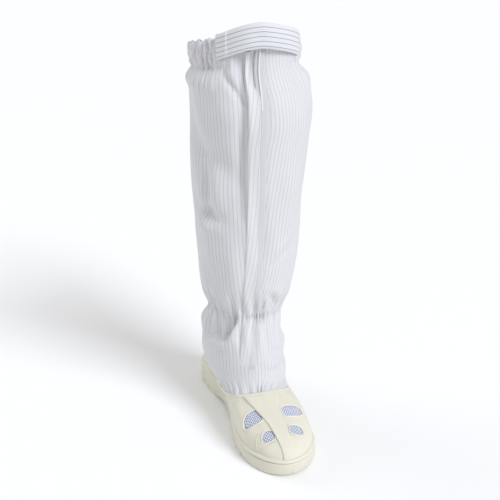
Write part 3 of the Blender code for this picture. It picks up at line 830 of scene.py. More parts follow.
@dataclass(frozen=True)
class Finish:
    """A plain procedural finish."""

    name: str
    colour: Triple
    roughness: float = 0.7
    grain: float = 0.05
    grain_size: float = 0.8  # size of that bump
    mottle: float = 0.03  # how much the colour varies
    sheen: float = 0.0
    bump: float = 0.5  # strength of the bump
    patches: float = 28.0  # patches of colour in a metre
    ramp: Pair = (0.3, 0.7)  # noise values between which the colour changes

    def make(self) -> Material:
        """Makes the finish.

        Returns:
            The material.
        """
        material, shader = self.shader()
        tree = material.node_tree
        tree.links.new(self.tint(tree), shader.inputs["Base Color"])
        return material

    def shader(self) -> tuple[Material, Node]:
        """Material with its even values and its fine bump.

        Returns:
            The material and its shader node.
        """
        material = bpy.data.materials.new(self.name)
        material.use_nodes = True
        tree = material.node_tree
        shader = tree.nodes["Principled BSDF"]
        shader.inputs["Base Color"].default_value = (*self.colour, 1.0)
        shader.inputs["Roughness"].default_value = self.roughness
        shader.inputs["Sheen Weight"].default_value = self.sheen
        bump = tree.nodes.new("ShaderNodeBump")
        bump.inputs["Strength"].default_value = self.bump
        bump.inputs["Distance"].default_value = self.grain * MM
        tree.links.new(self._noise(tree, 1.0 / (self.grain_size * MM), 2.0), bump.inputs["Height"])
        tree.links.new(bump.outputs["Normal"], shader.inputs["Normal"])
        return material, shader

    def tint(self, tree: Tree) -> Socket:
        """Colour that varies softly over the piece.

        Args:
            tree: the material's tree.

        Returns:
            Socket with the colour.
        """
        ramp = tree.nodes.new("ShaderNodeValToRGB")
        for stop, place, change in zip(ramp.color_ramp.elements, self.ramp, (-self.mottle, self.mottle)):
            stop.position = place
            stop.color = (*(min(1.0, c * (1.0 + change)) for c in self.colour), 1.0)
        tree.links.new(self._noise(tree, self.patches, 3.0), ramp.inputs["Fac"])
        return ramp.outputs["Color"]

    @staticmethod
    def _noise(tree: Tree, scale: float, detail: float) -> Socket:
        """Noise over the piece's own coordinates.

        Args:
            tree: the material's tree.
            scale: its scale in a metre.
            detail: its detail.

        Returns:
            Socket with the noise.
        """
        place = tree.nodes.new("ShaderNodeTexCoord")
        noise = tree.nodes.new("ShaderNodeTexNoise")
        noise.inputs["Scale"].default_value = scale
        noise.inputs["Detail"].default_value = detail
        tree.links.new(place.outputs["Object"], noise.inputs["Vector"])
        return noise.outputs["Fac"]


MIX_SHARE, MIX_FIRST, MIX_SECOND, MIX_RESULT = 0, 6, 7, 2  # sockets of the node that mixes two colours


@dataclass(frozen=True)
class LinedCloth(Finish):
    """White cloth with thin grey conductive lines at even spacing across its own UV map."""

    line: Triple = (0.45, 0.46, 0.53)  # colour of the lines
    pitch: float = 5.0
    width: float = 0.20
    strength: float = 0.55
    core: float = 0.3  # share of that half-width at full strength

    def make(self) -> Material:
        """Makes the finish.

        Returns:
            The material.
        """
        material, shader = self.shader()
        tree = material.node_tree
        uv = tree.nodes.new("ShaderNodeUVMap")
        split = tree.nodes.new("ShaderNodeSeparateXYZ")
        tree.links.new(uv.outputs["UV"], split.inputs["Vector"])
        scaled = self._math(tree, "DIVIDE", split.outputs["X"], self.pitch * MM)
        centred = self._math(tree, "SUBTRACT", self._math(tree, "FRACT", scaled), 0.5)
        mask = tree.nodes.new("ShaderNodeMapRange")
        mask.interpolation_type = "SMOOTHSTEP"
        mask.inputs["From Min"].default_value = self.width
        mask.inputs["From Max"].default_value = self.width * self.core
        mask.inputs["To Min"].default_value = 0.0
        mask.inputs["To Max"].default_value = self.strength
        tree.links.new(self._math(tree, "ABSOLUTE", centred), mask.inputs["Value"])
        mix = tree.nodes.new("ShaderNodeMix")
        mix.data_type = "RGBA"
        mix.inputs[MIX_SECOND].default_value = (*self.line, 1.0)
        tree.links.new(mask.outputs["Result"], mix.inputs[MIX_SHARE])
        tree.links.new(self.tint(tree), mix.inputs[MIX_FIRST])
        tree.links.new(mix.outputs[MIX_RESULT], shader.inputs["Base Color"])
        return material

    @staticmethod
    def _math(tree: Tree, kind: str, value: Socket,
              other: float = 0.0) -> Socket:
        """One arithmetic node.

        Args:
            tree: the material's tree.
            kind: operation.
            value: first socket.
            other: second number, where the operation takes one.

        Returns:
            The result's socket.
        """
        node = tree.nodes.new("ShaderNodeMath")
        node.operation = kind
        node.inputs[1].default_value = other
        tree.links.new(value, node.inputs[0])
        return node.outputs[0]


@dataclass
class Grower:
    """Geometry node trees for what repeats along a line, each made once."""

    bead_segments: int = 8
    bead_rings: int = 5
    strand_sides: int = 6

    @cached_property
    def beads(self) -> Tree:
        """Small rounded bodies laid along lines: stitches and zip teeth.

        Returns:
            The tree, with inputs Pitch, Size and Material.
        """
        tree, start = self._base("beads", (("Pitch", "NodeSocketFloat"), ("Size", "NodeSocketVector")))
        curve, points, ball, align, place = (tree.nodes.new(kind) for kind in (
            "GeometryNodeMeshToCurve", "GeometryNodeCurveToPoints", "GeometryNodeMeshUVSphere",
            "FunctionNodeAlignRotationToVector", "GeometryNodeInstanceOnPoints"))
        points.mode = "LENGTH"
        align.axis = "X"
        ball.inputs["Segments"].default_value = self.bead_segments
        ball.inputs["Rings"].default_value = self.bead_rings
        ball.inputs["Radius"].default_value = 0.5
        link = tree.links.new
        link(start.outputs["Geometry"], curve.inputs["Mesh"])
        link(curve.outputs["Curve"], points.inputs["Curve"])
        link(start.outputs["Pitch"], points.inputs["Length"])
        link(points.outputs["Points"], place.inputs["Points"])
        link(ball.outputs["Mesh"], place.inputs["Instance"])
        link(points.outputs["Tangent"], align.inputs["Vector"])
        link(align.outputs["Rotation"], place.inputs["Rotation"])
        link(start.outputs["Size"], place.inputs["Scale"])
        return self._finished(tree, start, place.outputs["Instances"])

    @cached_property
    def strands(self) -> Tree:
        """Round strands along lines: mesh, seams and rolled edges.

        Returns:
            The tree, with inputs Radius and Material.
        """
        tree, start = self._base("strands", (("Radius", "NodeSocketFloat"),))
        curve, circle, tube = (tree.nodes.new(kind) for kind in (
            "GeometryNodeMeshToCurve", "GeometryNodeCurvePrimitiveCircle", "GeometryNodeCurveToMesh"))
        circle.inputs["Resolution"].default_value = self.strand_sides
        tube.inputs["Fill Caps"].default_value = True
        link = tree.links.new
        link(start.outputs["Geometry"], curve.inputs["Mesh"])
        link(start.outputs["Radius"], circle.inputs["Radius"])
        link(curve.outputs["Curve"], tube.inputs["Curve"])
        link(circle.outputs["Curve"], tube.inputs["Profile Curve"])
        return self._finished(tree, start, tube.outputs["Mesh"])

    @staticmethod
    def _base(name: str, inputs: Sequence[tuple[str, str]]) -> tuple[Tree, Node]:
        """Tree with its own named inputs.

        Args:
            name: tree name.
            inputs: name and socket type of each input between the geometry and the material.

        Returns:
            The tree and its input node.
        """
        tree = bpy.data.node_groups.new(name, "GeometryNodeTree")
        geometry, paint = ("Geometry", "NodeSocketGeometry"), ("Material", "NodeSocketMaterial")
        for label, kind in (geometry, *inputs, paint):
            tree.interface.new_socket(name=label, in_out="INPUT", socket_type=kind)
        tree.interface.new_socket(name=geometry[0], in_out="OUTPUT", socket_type=geometry[1])
        return tree, tree.nodes.new("NodeGroupInput")

    @staticmethod
    def _finished(tree: Tree, start: Node,
                  shape: Socket) -> Tree:
        """Ends a tree in real geometry with its material.

        Args:
            tree: the tree.
            start: its input node.
            shape: the shape made so far.

        Returns:
            The tree.
        """
        real, paint, end = (tree.nodes.new(kind) for kind in (
            "GeometryNodeRealizeInstances", "GeometryNodeSetMaterial", "NodeGroupOutput"))
        tree.links.new(shape, real.inputs["Geometry"])
        tree.links.new(real.outputs["Geometry"], paint.inputs["Geometry"])
        tree.links.new(start.outputs["Material"], paint.inputs["Material"])
        tree.links.new(paint.outputs["Geometry"], end.inputs["Geometry"])
        return tree


@dataclass(frozen=True)
class Bead:
    """Small rounded body that repeats along a line, such as a stitch or a tooth."""

    finish: Finish
    pitch: float
    size: Triple


@dataclass
class Workshop:
    """Writes meshes, runs node trees and hands pieces to the frame."""

    shift: Array
    sharp: float = 50.0  # angle in degrees from which an edge is shaded sharp
    grower: Grower = field(default_factory=Grower)
    finishes: dict[Finish, Material] = field(default_factory=dict)  # materials made so far

    def material(self, finish: Finish) -> Material:
        """Material of a finish, made once.

        Args:
            finish: the finish.

        Returns:
            Its material.
        """
        if finish not in self.finishes:
            self.finishes[finish] = finish.make()
        return self.finishes[finish]

    def mesh(self, name: str, verts: Array, faces: Sequence[Sequence[int]],
             edges: Sequence[tuple[int, int]] = (), uvs: Array | None = None) -> Piece:
        """Object with a mesh in the row frame.

        Args:
            name: piece name.
            verts: points of the working frame.
            faces: vertex numbers of each face.
            edges: vertex numbers of each loose edge.
            uvs: one pair per face corner, in metres, if the finish needs them.

        Returns:
            The object.
        """
        data = bpy.data.meshes.new(name)
        data.from_pydata((np.asarray(verts) * MM + self.shift).tolist(), edges, [list(f) for f in faces])
        if uvs is not None:
            layer = data.uv_layers.new(name="UVMap")
            layer.data.foreach_set("uv", np.asarray(uvs, np.float32).ravel())
        piece = bpy.data.objects.new(name, data)
        bpy.context.scene.collection.objects.link(piece)
        return piece

    def hand_over(self, piece: Piece, finish: Finish, slot: Slot, node: Part | None = None) -> None:
        """Gives a piece its finish and joins it to the frame.

        Args:
            piece: the piece.
            finish: its finish.
            slot: the record's slot; not used.
            node: the CAD node it stands for, if any.
        """
        piece.data.materials.clear()
        piece.data.materials.append(self.material(finish))
        piece.data.shade_smooth()
        piece.data.set_sharp_from_angle(angle=np.radians(self.sharp))
        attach(piece, "root")
        if node is not None:
            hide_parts(node.value)
        LOG.info("%s: %d faces", piece.name, len(piece.data.polygons))

    def sheet(self, name: str, outer: Array, inner: Array, closed: bool, uv: Array | None = None) -> Piece:
        """Closed wall between two grids with the same columns; each may have its own rows.

        Args:
            name: piece name.
            outer: outer grid, rows by columns by 3.
            inner: inner grid.
            closed: whether columns run round.
            uv: outer grid's cloth coordinates in metres, with one column more when closed.

        Returns:
            The object.
        """
        rows, columns = outer.shape[:2]
        inner_rows = inner.shape[0]
        out_at = np.arange(rows * columns).reshape(rows, columns)
        in_at = np.arange(inner_rows * columns).reshape(inner_rows, columns) + rows * columns
        span = columns if closed else columns - 1
        beside = np.round(np.arange(inner_rows) * (rows - 1) / (inner_rows - 1)).astype(int)

        def out(r: int, c: int) -> tuple[int, int, int]:
            """Corner on the outer grid: vertex, row and column of the cloth."""
            return out_at[r, c % columns], r, c

        def back(r: int, c: int) -> tuple[int, int, int]:
            """Corner on the inner grid: vertex, row and column of the cloth."""
            return in_at[r, c % columns], beside[r], c

        foot, head = rows - 1, inner_rows - 1
        pairs = [(c, c + 1) for c in range(span)]
        corners = [[out(r, c), out(r, d), out(r + 1, d), out(r + 1, c)]
                   for r in range(foot) for c, d in pairs]
        corners += [[back(r, c), back(r + 1, c), back(r + 1, d), back(r, d)]
                    for r in range(head) for c, d in pairs]
        for c, d in pairs:
            corners.append([out(0, c), back(0, c), back(0, d), out(0, d)])
            corners.append([out(foot, c), out(foot, d), back(head, d), back(head, c)])
        if not closed:
            for r in range(foot):
                corners.append([out(r, 0), out(r + 1, 0), back(r + 1, 0), back(r, 0)])
                corners.append([out(r, span), back(r, span), back(r + 1, span), out(r + 1, span)])
        verts = np.concatenate([outer.reshape(-1, 3), inner.reshape(-1, 3)])
        faces = [[int(vert) for vert, _, _ in face] for face in corners]
        uvs = None if uv is None else np.array([uv[r, c] for face in corners for _, r, c in face])
        return self.mesh(name, verts, faces, uvs=uvs)

    def plain(self, piece: Piece) -> None:
        """Turns a piece with modifiers into a plain mesh.

        Args:
            piece: the piece.
        """
        seen = piece.evaluated_get(bpy.context.evaluated_depsgraph_get())
        data = bpy.data.meshes.new_from_object(seen)
        piece.modifiers.clear()
        old = piece.data
        piece.data = data
        bpy.data.meshes.remove(old)
        data.name = piece.name

    def cut(self, piece: Piece, cutter: Piece) -> None:
        """Cuts one piece out of another.

        Args:
            piece: what is cut.
            cutter: the shape taken away; it is removed.
        """
        modifier = piece.modifiers.new("cut", "BOOLEAN")
        modifier.operation = "DIFFERENCE"
        modifier.solver = "EXACT"
        modifier.object = cutter
        self.plain(piece)
        bpy.data.objects.remove(cutter, do_unlink=True)

    def strands(self, name: str, runs: Iterable[Array], radius: float, finish: Finish, slot: Slot) -> None:
        """Round strands of one finish along some lines."""
        piece = self._grown(name, runs, self.grower.strands, {"Radius": radius * MM}, finish)
        self.hand_over(piece, finish, slot)

    def beads(self, name: str, runs: Iterable[Array], bead: Bead, slot: Slot) -> None:
        """Stitches, or teeth, along lines.

        Args:
            name: piece name.
            runs: each line's points.
            bead: what repeats along them.
            slot: its slot.
        """
        values = {"Pitch": bead.pitch * MM, "Size": Vector(bead.size) * MM}
        piece = self._grown(name, runs, self.grower.beads, values, bead.finish)
        self.hand_over(piece, bead.finish, slot)

    def _grown(self, name: str, runs: Iterable[Array], tree: Tree,
               values: dict[str, object], finish: Finish) -> Piece:
        """Runs a node tree on open polylines and keeps its result as a plain mesh.

        Args:
            name: piece name.
            runs: each line's points.
            tree: the node tree.
            values: values of the tree's named inputs.
            finish: finish of what grows.

        Returns:
            The piece as a plain mesh.
        """
        verts: list[Array] = []
        edges: list[tuple[int, int]] = []
        for run in runs:
            start = len(verts)
            verts.extend(np.asarray(run))
            edges.extend((start + i, start + i + 1) for i in range(len(run) - 1))
        piece = self.mesh(name, np.array(verts), [], edges)
        modifier = piece.modifiers.new("grow", "NODES")
        modifier.node_group = tree
        values = {**values, "Material": self.material(finish)}
        for item in tree.interface.items_tree:
            if item.item_type == "SOCKET" and item.in_out == "INPUT" and item.name in values:
                modifier[item.identifier] = values[item.name]
        self.plain(piece)
        return piece


CREAM = Finish("cream_coated_cloth", (0.70, 0.68, 0.575), 0.62, 0.06, 0.55, 0.025)
CREAM_TRIM = Finish("cream_trim", (0.71, 0.69, 0.58), 0.58, 0.05, 0.55, 0.02)
CREAM_ROLL = Finish("cream_roll", (0.78, 0.765, 0.68), 0.58, 0.04, 0.5, 0.02)
SOLE = Finish("cream_sole", (0.68, 0.66, 0.55), 0.5, 0.03, 0.9, 0.02)
RAND = Finish("cream_rand", (0.71, 0.69, 0.58), 0.5, 0.03, 0.7, 0.02)
THREAD = Finish("cream_thread", (0.74, 0.72, 0.62), 0.8, 0.02, 0.3, 0.02)
MESH_CLOTH = Finish("mesh_ground", (0.28, 0.315, 0.45), 0.9, 0.05, 0.4, 0.03)
MESH_STRAND = Finish("mesh_strand", (0.76, 0.78, 0.85), 0.85, 0.02, 0.3, 0.02)
INSOLE = Finish("insole_cloth", (0.55, 0.55, 0.53), 0.9, 0.08, 0.6, 0.04)
CLOTH = LinedCloth(
    "lined_cloth", (0.650, 0.650, 0.668), 0.85, 0.04, 0.5, 0.012, 0.1,
    line=(0.36, 0.36, 0.41), pitch=5.0, width=0.15, strength=0.42)
LAP_CLOTH = LinedCloth(
    "lap_cloth", (0.680, 0.680, 0.700), 0.85, 0.04, 0.5, 0.012, 0.1,
    line=(0.38, 0.38, 0.43), pitch=5.0, width=0.15, strength=0.36)
STRAP_CLOTH = LinedCloth(
    "strap_cloth", (0.680, 0.685, 0.715), 0.82, 0.05, 0.6, 0.012, 0.1,
    line=(0.20, 0.20, 0.24), pitch=4.9, width=0.11, strength=0.8)
# Paler than the lap's cloth: a painted highlight along the lap's folded edge beside the zip.
LAP_EDGE_HIGHLIGHT = Finish("lap_edge", (0.76, 0.76, 0.78), 0.85, 0.04, 0.5, 0.012, 0.1)
ZIP_TAPE = Finish("zip_tape", (0.59, 0.58, 0.615), 0.85, 0.05, 0.4, 0.015, 0.1)
ZIP_COIL = Finish("zip_coil", (0.46, 0.46, 0.47), 0.5, 0.01, 0.5, 0.02)
WHITE_THREAD = Finish("white_thread", (0.64, 0.64, 0.67), 0.85, 0.02, 0.3, 0.02)
UPPER_STITCH = Bead(THREAD, 2.6, (1.9, 0.5, 0.5))
STRAP_STITCH = Bead(WHITE_THREAD, 2.4, (1.8, 0.5, 0.5))
SHAFT_STITCH = Bead(WHITE_THREAD, 2.6, (1.9, 0.45, 0.45))
ZIP_TOOTH = Bead(ZIP_COIL, 1.5, (0.9, 3.6, 1.4))


@dataclass
class SoleUnit:
    """Moulded sole with lip and tread, and the rolled bead above it."""

    shop: Workshop
    last: Last
    columns: int = 220
    tread_edge: tuple[Pair, ...] = (  # inset and height above the tread of its rounded edge
        (2.2, 0.0), (1.2, 0.5), (0.6, 1.8), (0.1, 4.4))
    side_inset: float = 0.3
    side_bow: float = 0.5  # how far it bows out
    side_rows: int = 5
    lip: tuple[Pair, ...] = (  # inset and depth below the sole's top of the rounded lip
        (0.2, 3.0), (0.25, 1.8), (0.6, 0.9), (1.3, 0.25), (2.2, 0.0))
    channels: tuple[float, ...] = (  # shares of the length where the tread is cut
        0.06, 0.13, 0.20, 0.58, 0.645, 0.71, 0.775)
    channel_depth: float = 3.0
    channel_half: Pair = (3.0, 2.2)  # half-width of a channel below the floor and at its depth
    channel_reach: float = 70.0  # half-length of the cutter, past both sides
    bead_height: float = 4.4
    bead_depth: float = 2.6  # how far it stands out
    bead_seat: float = 0.35  # how far its back edge stands off the upper
    bead_gap: float = 0.25  # gap between the bead and the sole
    bead_round: tuple[Pair, ...] = (  # share of the height and of the depth
        (0.0, 0.25), (0.08, 0.68), (0.25, 1.0), (0.5, 1.0), (0.72, 0.8), (0.9, 0.42), (1.0, -0.09))
    parting_turn: float = -0.012
    parting_inset: float = 0.12
    parting_heights: Pair = (4.0, 14.5)
    parting_radius: float = 0.35

    def build(self) -> None:
        """Makes all pieces of the sole."""
        self._unit()
        self._rand()
        self._parting_line()

    def _unit(self) -> None:
        """The sole itself: rounded tread edge, bowed side, rounded lip and flat top."""
        turn = round_turns(self.columns)
        floor, top = self.last.floor(turn), self.last.top(turn)
        profile = [(inset, floor + height) for inset, height in self.tread_edge]
        low, high = profile[-1][1], top - self.lip[0][1]
        for share in np.arange(1, self.side_rows) / self.side_rows:
            inset = self.side_inset - self.side_bow * np.sin(np.pi * share)
            profile.append((inset, low + (high - low) * share))
        profile += [(inset, top - depth) for inset, depth in self.lip]
        rings = np.array([self.last.sole_point(turn, inset, z) for inset, z in profile])
        count = self.columns
        faces = []
        for r in range(len(rings) - 1):
            for c in range(count):
                a, b = r * count + c, r * count + (c + 1) % count
                faces.append((a, b, b + count, a + count))
        faces += [face[::-1] for face in self._cap(0)] + self._cap((len(rings) - 1) * count)
        sole = self.shop.mesh("sole_unit", rings.reshape(-1, 3), faces)
        self.shop.cut(sole, self._tread())
        self.shop.hand_over(sole, SOLE, Slot.SOLE, Part.OUTSOLE)

    def _cap(self, base: int) -> list[tuple[int, ...]]:
        """Faces across one ring of the sole, side to side.

        Args:
            base: first vertex of the ring.

        Returns:
            Vertex numbers of each face, facing up.
        """
        count, half = self.columns, self.columns // 2
        end = base + count
        faces = [(end - 1, base, base + 1), (base + half + 1, base + half - 1, base + half)]
        return faces + [(end - c, base + c, base + c + 1, end - c - 1) for c in range(1, half - 1)]

    def _tread(self) -> Piece:
        """Cutter for the channels of the tread.

        Returns:
            The cutter, one wedge for each channel.
        """
        verts: list[Triple] = []
        faces: list[tuple[int, ...]] = []
        wedge = ((0, 3, 2, 1), (4, 5, 6, 7), (0, 1, 5, 4), (1, 2, 6, 5), (2, 3, 7, 6), (3, 0, 4, 7))
        for share in self.channels:
            faces += [tuple(len(verts) + i for i in face) for face in wedge]
            middle = self.last.length * (0.5 - share)
            for z, half in zip((-self.channel_depth, self.channel_depth), self.channel_half):
                for x, side in ((-1, -1), (1, -1), (1, 1), (-1, 1)):
                    verts.append((x * self.channel_reach, middle + side * half, z))
        return self.shop.mesh("tread_cutter", np.array(verts), faces)

    def _rand(self) -> None:
        """Rolled bead around the foot of the upper."""
        turn = round_turns(self.columns)
        rises = [self.last.rise_above(turn, share * self.bead_height) for share, _ in self.bead_round]
        stands = [self.bead_seat + self.bead_depth * depth for _, depth in self.bead_round]
        outer = np.array([self.last.off(turn, rise, stand) for rise, stand in zip(rises, stands)])
        inner = np.array([self.last.off(turn, rise, 0.0) for rise in rises])
        outer[0, :, 2] = inner[0, :, 2] = self.last.top(turn) + self.bead_gap
        piece = self.shop.sheet("rand_bead", outer, inner, True)
        self.shop.hand_over(piece, RAND, Slot.RAND, Part.RAND)

    def _parting_line(self) -> None:
        """Fine upright line of the mould at the toe."""
        z = np.linspace(*self.parting_heights, 12)
        run = self.last.sole_point(np.full_like(z, self.parting_turn), self.parting_inset, z)
        self.shop.strands("sole_parting_line", [run], self.parting_radius, SOLE, Slot.SOLE)


@dataclass(frozen=True)
class Window:
    """An ellipse with slightly squared corners on the vamp, in plan."""

    name: str
    x: float
    y: float
    across: float  # half-length across
    along: float  # half-length along
    tilt: float = -12.0  # turn of its axes in degrees
    medial: float = 1.0  # share of the half-length at which its medial end is cut straight
    square: float = 0.85  # how squared its corners are, 1 being a plain ellipse

    def loop(self, scale: float, extra: float, count: int) -> tuple[Array, Array]:
        """Plan places all around, at a scale and with some millimetres added."""
        return self.arc(np.linspace(0.0, 2 * np.pi, count, endpoint=False), scale, extra)

    def arc(self, angle: Array, scale: float = 1.0, extra: float = 0.0) -> tuple[Array, Array]:
        """Plan places at some angles.

        Args:
            angle: angles from the lateral end towards the heel.
            scale: size against its own.
            extra: millimetres added all round.

        Returns:
            Places x and y.
        """
        across, along = (np.sign(v) * np.abs(v) ** self.square for v in (np.cos(angle), np.sin(angle)))
        across = np.maximum(across, -self.medial)
        return self.inside(across * (self.across * scale + extra), along * (self.along * scale + extra))

    def holds(self, across: Array, along: Array, extra: float) -> Array:
        """Whether places on its own axes lie inside, up to some millimetres more."""
        round_ = (across / (self.across + extra)) ** 2 + (along / (self.along + extra)) ** 2 <= 1.0
        return round_ & (across >= -self.medial * self.across - extra)

    def inside(self, across: Array, along: Array) -> tuple[Array, Array]:
        """Plan places x and y from millimetres on its own axes."""
        tilt = np.radians(self.tilt)
        return (self.x + across * np.cos(tilt) - along * np.sin(tilt),
                self.y + across * np.sin(tilt) + along * np.cos(tilt))


WINDOWS = (
    Window("mesh_medial_rear", -27.2, -74.4, 12.2, 9.2),
    Window("mesh_lateral_rear", 20.3, -80.0, 15.0, 8.0, 3.0, 0.8),
    Window("mesh_medial_front", -20.0, -104.5, 8.4, 6.0),
    Window("mesh_lateral_front", 14.2, -106.5, 9.3, 6.1, -12.0, 0.8),
)

PATCH = Window("patch", -20.0, -104.0, 14.6, 9.0)


@dataclass(frozen=True)
class OpenMesh:
    """Mesh sewn behind a window: a thin ground with crossed strands on it."""

    hem: float = 0.7
    deep: float = 1.35  # how far the ground lies below the upper's surface
    thick: float = 0.5
    rings: int = 7
    heart: float = 0.04  # size of its innermost ring, as a share
    around: int = 32  # points around a ring
    pitch: float = 2.5
    radius: float = 0.40
    strand_deep: float = 1.15
    strand_hem: float = 0.5
    strand_points: int = 25

    def ground(self, last: Last, window: Window) -> tuple[Array, Array]:
        """Front and back of the ground.

        Args:
            last: the foot's shape.
            window: the window.

        Returns:
            Two grids of points, from the edge to the heart.
        """
        rings = []
        for size in np.linspace(self.heart, 1.0, self.rings):
            turns, rises = last.over(*window.loop(size, self.hem * size, self.around))
            rings.append(last.off(turns, rises, -self.deep))
        front = np.array(rings)[::-1]
        return front, front - UP * self.thick

    def strands(self, last: Last, window: Window) -> list[Array]:
        """Lines of the strands, slanted both ways.

        Args:
            last: the foot's shape.
            window: the window.

        Returns:
            Points of each strand.
        """
        runs = []
        reach = window.across + window.along
        slant = np.sqrt(0.5)
        span = np.linspace(-reach, reach, self.strand_points)
        for way in (1.0, -1.0):
            for place in np.arange(-reach, reach, self.pitch):
                across, along = (span + place) * slant, way * (place - span) * slant
                keep = window.holds(across, along, self.strand_hem)
                if keep.sum() >= 2:
                    turns, rises = last.over(*window.inside(across[keep], along[keep]))
                    runs.append(last.off(turns, rises, -self.strand_deep))
        return runs


@dataclass(frozen=True)
class CentreStrip:
    """Raised strip from throat to toe, whose medial edge stands free."""

    edges: Table = Table((  # rise, turn of the medial edge and turn of the lateral edge
        (0.06, -0.062, 0.006), (0.31, -0.062, 0.013), (0.50, -0.074, 0.026), (0.65, -0.094, 0.037),
        (0.79, -0.137, 0.062), (0.98, -0.215, 0.160)))
    rises: Pair = (0.06, 0.955)  # rises of its toe end and its throat end
    shares: tuple[float, ...] = (  # shares across of its points, close together at both edges
        0.0, 0.012, 0.03, 0.055, 0.09, *np.linspace(0.14, 0.86, 13), 0.91, 0.945, 0.97, 0.988, 1.0)
    edge_wide: float = 0.055  # share across of a rounded edge
    edge_height: float = 0.35  # height of the edges
    crown: float = 1.15  # how much higher the middle stands
    free: float = 0.9  # how far the medial edge lifts off
    free_wide: float = 0.22  # share across over which it does
    free_from: float = 0.25
    free_rise: float = 0.3
    toe_rise: float = 0.02  # rises over which the strip thickens at its toe end
    toe_height: float = 0.3  # share of its height at the toe's end
    seat: float = 0.05
    back_lift: float = 0.6  # share of the free edge's lift that its back follows
    seam: float = 0.13
    seam_rises: Pair = (0.10, 0.93)
    seam_lift: float = 1.52

    def turns(self, rise: Array, share: Array) -> Array:
        """Turns of the strip at some rises and shares across."""
        left, right = self.edges.at(rise, 1), self.edges.at(rise, 2)
        return left + (right - left) * share

    def faces(self, last: Last) -> tuple[Array, Array]:
        """Front and back of the strip.

        Args:
            last: the foot's shape.

        Returns:
            Two grids of points.
        """
        rise = np.linspace(*self.rises, 60)[:, None]
        share = np.array(self.shares)[None, :]
        height = self.edge_height + self.crown * rounded(np.minimum(share, 1.0 - share) / self.edge_wide)
        lift = self.free * bell(share / self.free_wide) * smooth((rise - self.free_from) / self.free_rise)
        toe = smooth((rise - self.rises[0]) / self.toe_rise)
        toe = self.toe_height + (1.0 - self.toe_height) * toe
        turn = self.turns(rise, share)
        return (last.off(turn, rise, (height + lift) * toe),
                last.off(turn, rise, self.seat + self.back_lift * lift))

    def seams(self, last: Last) -> list[Array]:
        """Lines of both seams on a foot's shape."""
        rise, shares = np.linspace(*self.seam_rises, 60), (self.seam, 1.0 - self.seam)
        return [last.off(self.turns(rise, share), rise, self.seam_lift) for share in shares]


@dataclass(frozen=True)
class HeelStrip:
    """Raised strip over the back of the heel."""

    rises: Pair = (0.22, 0.84)  # rises of its foot and its head
    half: float = 0.085  # half-width at its head, in turns
    spread: float = 0.35
    edge: float = 0.2  # height of its edges
    crown: float = 1.1  # how much higher its middle stands
    edges_round: float = 6.0  # rounded edges in the half-width
    seat: float = 0.05
    seam: float = 0.070
    seam_rises: Pair = (0.26, 0.80)
    seam_lift: float = 1.3

    def faces(self, last: Last) -> tuple[Array, Array]:
        """Front and back of the strip.

        Args:
            last: the foot's shape.

        Returns:
            Two grids of points.
        """
        rise = np.linspace(*self.rises, 24)[:, None]
        share = np.linspace(-1.0, 1.0, 25)[None, :]
        turn = 1.0 + self.half * share * (1.0 + self.spread * (1.0 - rise))
        height = self.edge + self.crown * rounded((1.0 - np.abs(share)) * self.edges_round)
        return last.off(turn, rise, height), last.off(turn, rise, self.seat)

    def seams(self, last: Last) -> list[Array]:
        """Lines of both seams on a foot's shape."""
        rise = np.linspace(*self.seam_rises, 30)
        return [last.off(1.0 + side * self.seam, rise, self.seam_lift) for side in (-1.0, 1.0)]


@dataclass(frozen=True)
class Binding:
    """Rolled binding around the topline, flatter in front than behind."""

    section: tuple[Pair, ...] = (  # depth below the topline and height of the roll's section
        (0.0, 0.35), (0.35, 0.95), (1.2, 1.35), (2.4, 1.4), (3.6, 1.2), (4.3, 0.8), (4.6, 0.3))
    front: float = 0.35  # share of the height in front
    back: float = 0.35  # how much more of it behind
    back_from: float = 0.25
    back_rise: float = 0.3
    base: float = 0.1  # height added all over
    seat: float = 0.05
    seam: float = 6.0
    seam_lift: float = 0.05

    def faces(self, last: Last, turn: Array) -> tuple[Array, Array]:
        """Front and back of the binding.

        Args:
            last: the foot's shape.
            turn: turns of its columns.

        Returns:
            Two grids of points, from its lower edge up.
        """
        full = self.front + self.back * smooth((np.abs(turn) - self.back_from) / self.back_rise)
        outer, inner = [], []
        for depth, height in self.section[::-1]:
            rise = last.rise_below(turn, depth)
            outer.append(last.off(turn, rise, height * full + self.base))
            inner.append(last.off(turn, rise, self.seat))
        return np.array(outer), np.array(inner)

    def seams(self, last: Last) -> list[Array]:
        """Line of the seam below the binding on a foot's shape."""
        turn = wrapped(np.linspace(-1.0, 1.0, 260))
        return [last.off(turn, last.rise_below(turn, self.seam), self.seam_lift)]


